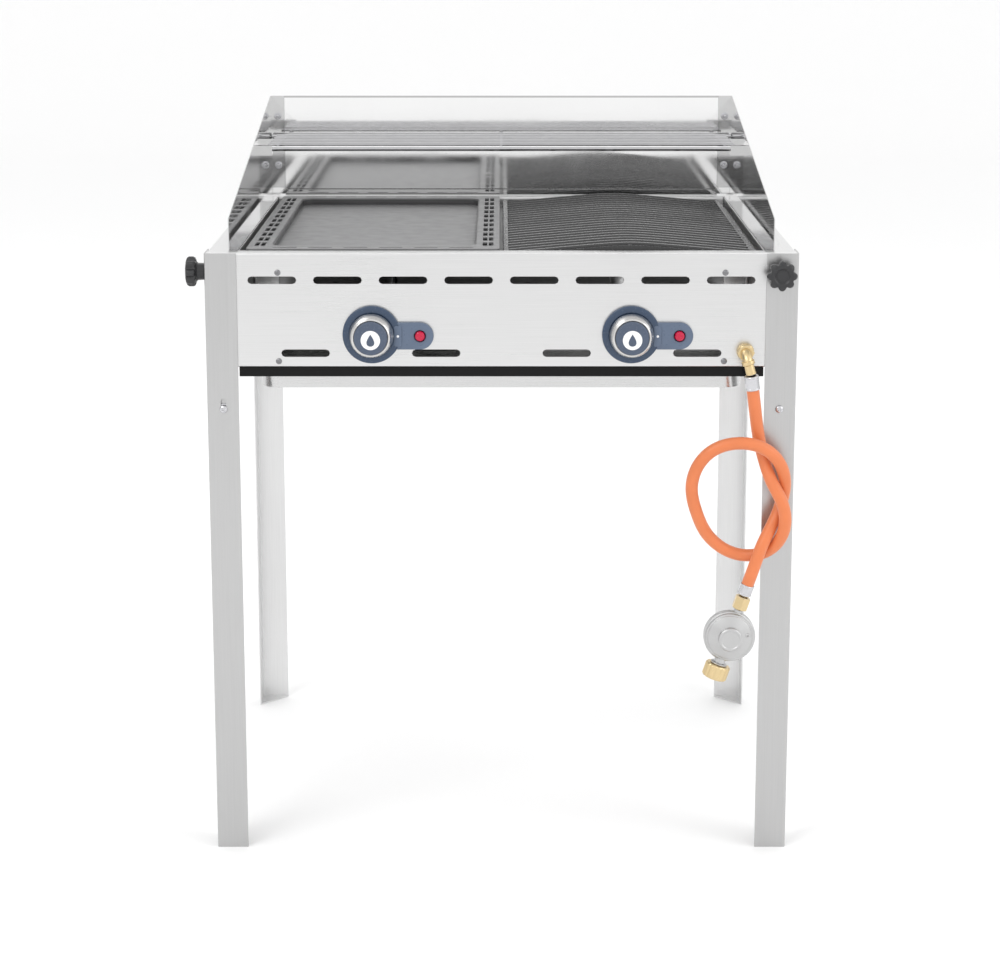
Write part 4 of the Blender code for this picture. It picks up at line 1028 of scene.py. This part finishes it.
def threaded(profile, pitch):
    """Replace a stud's plain side by shallow rings that read as a thread."""
    top, bottom = profile[1], profile[2]
    radius = top[0]
    count = int((top[1] - bottom[1]) / pitch)
    side = []
    for i in range(count):
        height = top[1] - i * pitch
        side += [(radius - 0.35, height), (radius, height - pitch / 2)]
    return [profile[0], *side, (radius - 0.35, bottom[1]), *profile[3:]]


def windshield_bolts():
    for name in SIDES:
        for label in ("lower", "upper"):
            node = f"windshield_bolt_{name}_{label}"
            low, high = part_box(node)
            spot = (low + high) / 2
            body = BODY_OF[node]
            back = Vector((spot.x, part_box("windshield_back")[1].y, spot.z))
            matrix = axis_matrix(back, (0, 1, 0)) @ Matrix.Rotation(0.8, 4, "Z")
            publish(f"bolt_head_{name}_{label}", screw_head(4.2, 2.6, 2.3), ZINC, body, matrix, (node,))
            tip = Vector((spot.x, low.y, spot.z))
            length = (high.y - low.y) / MM
            end = -length + 2.4
            profile = threaded([(0.0, -0.2), (2.0, -0.4), (2.0, end), (0.0, end)], 0.6)
            turned(f"bolt_shank_{name}_{label}", profile, tip, (0, -1, 0), ZINC, body,
                   steps=32, ease=0.05)
            seat = tip + Vector((0, 7.0 * MM, 0))
            washer = [(2.1, 0.9), (4.8, 0.9), (4.8, 0.0), (2.1, 0.0), (2.1, 0.9)]
            turned(f"bolt_washer_{name}_{label}", washer, seat, (0, -1, 0), ZINC, body,
                   steps=40, ease=0.1)
            nut(f"bolt_nut_{name}_{label}", 7.0, 3.2, 1.9, seat - Vector((0, 0.9 * MM, 0)),
                (0, -1, 0), ZINC, body)


# Cooking plates
def griddle():
    """Enamelled griddle: rim with slots all round, sunk floor with round corners, outer skirt."""
    low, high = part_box("griddle_plate")
    x0, x1 = low.x / MM, high.x / MM
    d0, d1 = (low.y - FACE_Y) / MM, (high.y - FACE_Y) / MM
    bottom, top = low.z / MM, high.z / MM
    body = BODY_OF["griddle_plate"]
    recess = (x0 + 26.0, d0 + 25.0, x1 - 26.0, d1 - 25.0)
    centre = (d0 + d1) / 2
    holes = []
    for column in (recess[0] - 16.4, recess[0] - 9.6, recess[2] + 9.6, recess[2] + 16.4):
        for row in range(11):
            depth = centre + (row - 5) * 41.0
            holes.append(
                rounded_rectangle(column - 2.5, depth - 14.5, column + 2.5, depth + 14.5, 1.4, 3)
            )
    for i in range(6):
        x = (x0 + x1) / 2 + (i - 2.5) * 39.0
        for depth in (d0 + 10.5, d1 - 10.5):
            holes.append(rounded_rectangle(x - 13.5, depth - 2.4, x + 13.5, depth + 2.4, 2.2, 4))

    def ring(name, outward, inward, height, middle_z, edge):
        frames = []
        for grow in (outward, -inward):
            box = (recess[0] - grow, recess[1] - grow, recess[2] + grow, recess[3] + grow)
            frames.append(rounded_rectangle(*box, 16.0 + grow, 10))
        return flat_mesh(name, frames, height, edge, lying(0, 0, middle_z))

    thick = 2.4
    outline = rounded_rectangle(x0, d0, x1, d1, 6.0)
    inside = rounded_rectangle(*recess, 16.0, 10)
    rim = flat_mesh("rim", [outline, inside, *holes], thick, 0.5, lying(0, 0, top - thick / 2))
    floor = flat_mesh("floor", [inside], 3.0, 0.4, lying(0, 0, top - 9.5))
    publish("griddle_rim", rim, GRIDDLE_ENAMEL, body, None, ("griddle_plate",))
    publish("griddle_floor", floor, GRIDDLE_ENAMEL, body)
    wall = ring("wall", 1.2, 1.4, 9.6, top - 6.2, 0.6)
    # The sunk floor's wall takes the darker enamel as painted shade.
    publish("griddle_wall", wall, SHADED_WALL_ENAMEL, body)
    tall = top - 1.0 - bottom
    outer = flat_mesh(
        "outer_skirt",
        [outline, rounded_rectangle(x0 + 3.0, d0 + 3.0, x1 - 3.0, d1 - 3.0, 4.0)],
        tall, 0.5, lying(0, 0, bottom + tall / 2),
    )
    publish("griddle_skirt", outer, GRIDDLE_ENAMEL, body)


def ridge_height(across):
    """Height of a slat, from 1 at its middle to 0 at its end: a roof with a rounded ridge."""
    soft = 0.16
    slope = math.sqrt(across**2 + soft**2)
    return (math.sqrt(1 + soft**2) - slope) / (math.sqrt(1 + soft**2) - soft)


def close_strip(bm, rings):
    """Close a row of equal rings into a solid strip."""
    count = len(rings[0])
    for one, two in zip(rings, rings[1:]):
        for j in range(count):
            k = (j + 1) % count
            bm.faces.new((one[j], one[k], two[k], two[j]))
    bm.faces.new(rings[0])
    bm.faces.new(rings[-1][::-1])


def grate():
    """Enamelled grate: rounded slats across a rim, rising to a ridge, on three cross ribs."""
    low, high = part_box("grill_grate")
    x0, x1 = low.x / MM, high.x / MM
    d0, d1 = (low.y - FACE_Y) / MM, (high.y - FACE_Y) / MM
    bottom, top = low.z / MM, high.z / MM
    body = BODY_OF["grill_grate"]
    outside = rounded_rectangle(x0, d0, x1, d1, 6.0)
    inside = rounded_rectangle(x0 + 6, d0 + 6, x1 - 6, d1 - 6, 3.0)
    rim = flat_mesh("rim", [outside, inside], 8.0, 1.2, lying(0, 0, bottom + 4.0))
    publish("grate_rim", rim, GRATE_ENAMEL, body, None, ("grill_grate",))
    count, stations = 23, 44
    left, right = x0 + 2.0, x1 - 2.0
    half = (right - left) / 2
    first = d0 + 6.0
    pitch = (d1 - 6.0 - first) / count
    rise = top - bottom - 7.0
    section = [(-2.2, 0.0), (-2.6, 2.4), (-2.4, 4.4), (-1.7, 5.6), (-0.6, 6.1), (0.6, 6.1), (1.7, 5.6)]
    section += [(2.4, 4.4), (2.6, 2.4), (2.2, 0.0)]
    bm = bmesh.new()
    for i in range(count):
        middle_depth = first + pitch * (i + 0.5)
        rings = []
        for s in range(stations + 1):
            x = left + (right - left) * s / stations
            lift = bottom + 0.9 + rise * ridge_height(abs(x - left - half) / half)
            end = min(s, stations - s)
            swell = 1.0 if end > 0 else 0.8
            rings.append(
                [bm.verts.new(place(x, middle_depth + a * swell, lift + b)) for a, b in section]
            )
        close_strip(bm, rings)
    publish("grate_slats", mesh_of(bm, "slats"), GRATE_ENAMEL, body)
    ribs = []
    for share in (-0.56, 0.0, 0.58):
        x = left + half * (1 + share)
        lift = bottom + 0.9 + rise * ridge_height(abs(share)) + 1.7
        ends = bar_points(place(x, d0 + 4, lift), place(x, d1 - 4, lift), 0.8)
        ribs.append(rod_mesh("rib", ends, 2.6, 12))
    publish("grate_ribs", merged("ribs", ribs), GRATE_ENAMEL, body)
    bm = bmesh.new()
    for depth in (d0 + 2.4, d1 - 4.2):
        rings = []
        for s in range(stations + 1):
            x = left + (right - left) * s / stations
            lift = bottom + 4.9 + rise * ridge_height(abs(x - left - half) / half)
            corners = [(0.0, bottom + 2.0), (1.8, bottom + 2.0), (1.8, lift), (0.0, lift)]
            rings.append([bm.verts.new(place(x, depth + a, z)) for a, z in corners])
        close_strip(bm, rings)
    publish("grate_end_plates", mesh_of(bm, "end_plates"), GRATE_ENAMEL, body)


# Warming rack
def warming_rack():
    low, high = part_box("warming_rack")
    x0, x1 = low.x / MM, high.x / MM
    body = BODY_OF["warming_rack"]
    front, back = (low.y - FACE_Y) / MM + 3.0, (high.y - FACE_Y) / MM - 2.5
    rail_z = low.z / MM + 3.0
    wires = 7
    bars = [
        rod_mesh(
            name, bar_points(place(x0, depth, rail_z), place(x1, depth, rail_z), 1.0), radius,
            sides, False, 0.7,
        )
        for name, depth, radius, sides in (("front", front, 3.0, 24), ("back", back, 2.5, 20))
    ]
    for i in range(wires):
        depth = front + (back - front) * (i + 1) / (wires + 1)
        ends = bar_points(place(-288, depth, rail_z + 3.0), place(288, depth, rail_z + 3.0), 0.7)
        bars.append(rod_mesh("wire", ends, 1.5, 16, False, 0.6))
    for x in (-276.0, 0.0, 276.0):
        ends = bar_points(place(x, front - 0.5, rail_z + 0.2), place(x, back + 0.5, rail_z + 0.2), 0.8)
        bars.append(rod_mesh("cross", ends, 2.0, 16, False, 0.7))
    publish("rack_wires", merged("rack", bars), CHROME, body, None, ("warming_rack",))
    welds = []
    for x in (-276.0, 0.0, 276.0):
        for i in range(wires):
            depth = front + (back - front) * (i + 1) / (wires + 1)
            drop = [(0.0, 1.5), (1.4, 1.0), (2.2, 0.0), (1.4, -1.0), (0.0, -1.5)]
            bead = turned_mesh("weld", drop, 12, 0.2)
            welds.append(moved(bead, Matrix.Translation(place(x, depth, rail_z + 1.7))))
    publish("rack_welds", merged("welds", welds), CHROME, body)


# Burners and gas pipe
def burners():
    for name in SIDES:
        node = f"burner_{name}"
        low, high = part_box(node)
        x = (low.x + high.x) / 2 / MM
        body = BODY_OF[node]
        z0 = 596.7
        path = [(x, 60.0, z0), (x, 95.0, z0), (x, 115.0, 600.0), (x, 135.0, 610.0)]
        path += [(x, 155.0, 620.0), (x, 175.0, 624.0), (x, 200.0, 625.0), (x, 300.0, 625.0)]
        path.append((x, 533.0, 625.0))
        tube = rod_mesh("tube", smooth_curve(path, 60), 13.6, 40)
        drills = []
        for row in (-32.0, 32.0):
            turn = Matrix.Rotation(math.radians(row), 4, "Y")
            for i in range(28):
                drill = [(0.0, 18.0), (1.3, 18.0), (1.3, 11.6), (0.0, 11.6)]
                hole = turned_mesh("port", drill, 8, 0.01)
                drills.append(moved(hole, Matrix.Translation(place(x, 215.0 + i * 11.0, 625.0)) @ turn))
        tube = cut_mesh(tube, merged("ports", drills))
        publish(f"burner_tube_{name}", tube, TUBE_STEEL, body, None, (node,))
        shutter = [(14.0, 0.0), (14.9, 0.0), (14.9, 22.0), (14.0, 22.0), (14.0, 0.0)]
        turned(f"air_shutter_{name}", shutter, place(x, 66.0, z0), (0, 1, 0), ZINC, body,
               steps=64, ease=0.1)
        plug = [(0.0, 1.4), (12.0, 1.4), (13.9, 0.4), (13.9, -6.0), (0.0, -6.0)]
        turned(f"burner_end_{name}", plug, place(x, 533.6, 625.0), (0, 1, 0), ZINC, body, ease=0.4)


def gas_pipe():
    low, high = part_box("gas_manifold")
    body = BODY_OF["gas_manifold"]
    spot = (low + high) / 2
    ends = bar_points((low.x, spot.y, spot.z), (high.x, spot.y, spot.z), 0.8)
    pipe = rod_mesh("pipe", ends, 6.0, 32, False, 0.85)
    publish("gas_pipe", pipe, PIPE, body, None, ("gas_manifold",))
    for name in SIDES:
        valve = middle(f"gas_valve_{name}")
        knob = middle(f"control_knob_{name}")
        owner = BODY_OF[f"gas_valve_{name}"]
        seat = Vector((knob.x, FACE_Y + 19.4 * MM, knob.z))
        nut(f"valve_gland_{name}", 15.0, 5.0, 4.6, seat, (0, -1, 0), BRASS, owner)
        for dx in (-9.0, 9.0):
            spot = Vector((knob.x + dx * MM, FACE_Y + 22.0 * MM, valve.z - 10.0 * MM))
            letter = "a" if dx < 0 else "b"
            publish(f"valve_screw_{name}_{letter}", screw_head(2.2, 1.4, 1.3), ZINC, owner,
                    axis_matrix(spot, (0, -1, 0)))
        jet = Vector((knob.x, FACE_Y + 51.5 * MM, knob.z))
        nut(f"valve_jet_{name}", 9.0, 4.0, 2.0, jet, (0, 1, 0), BRASS, owner)


camera()
studio()
gas_line()
sheet_metal()
controls()
panel_screws()
leg_pivots()
star_knobs()
windshield_bolts()
griddle()
grate()
warming_rack()
burners()
gas_pipe()

bpy.context.view_layer.update()
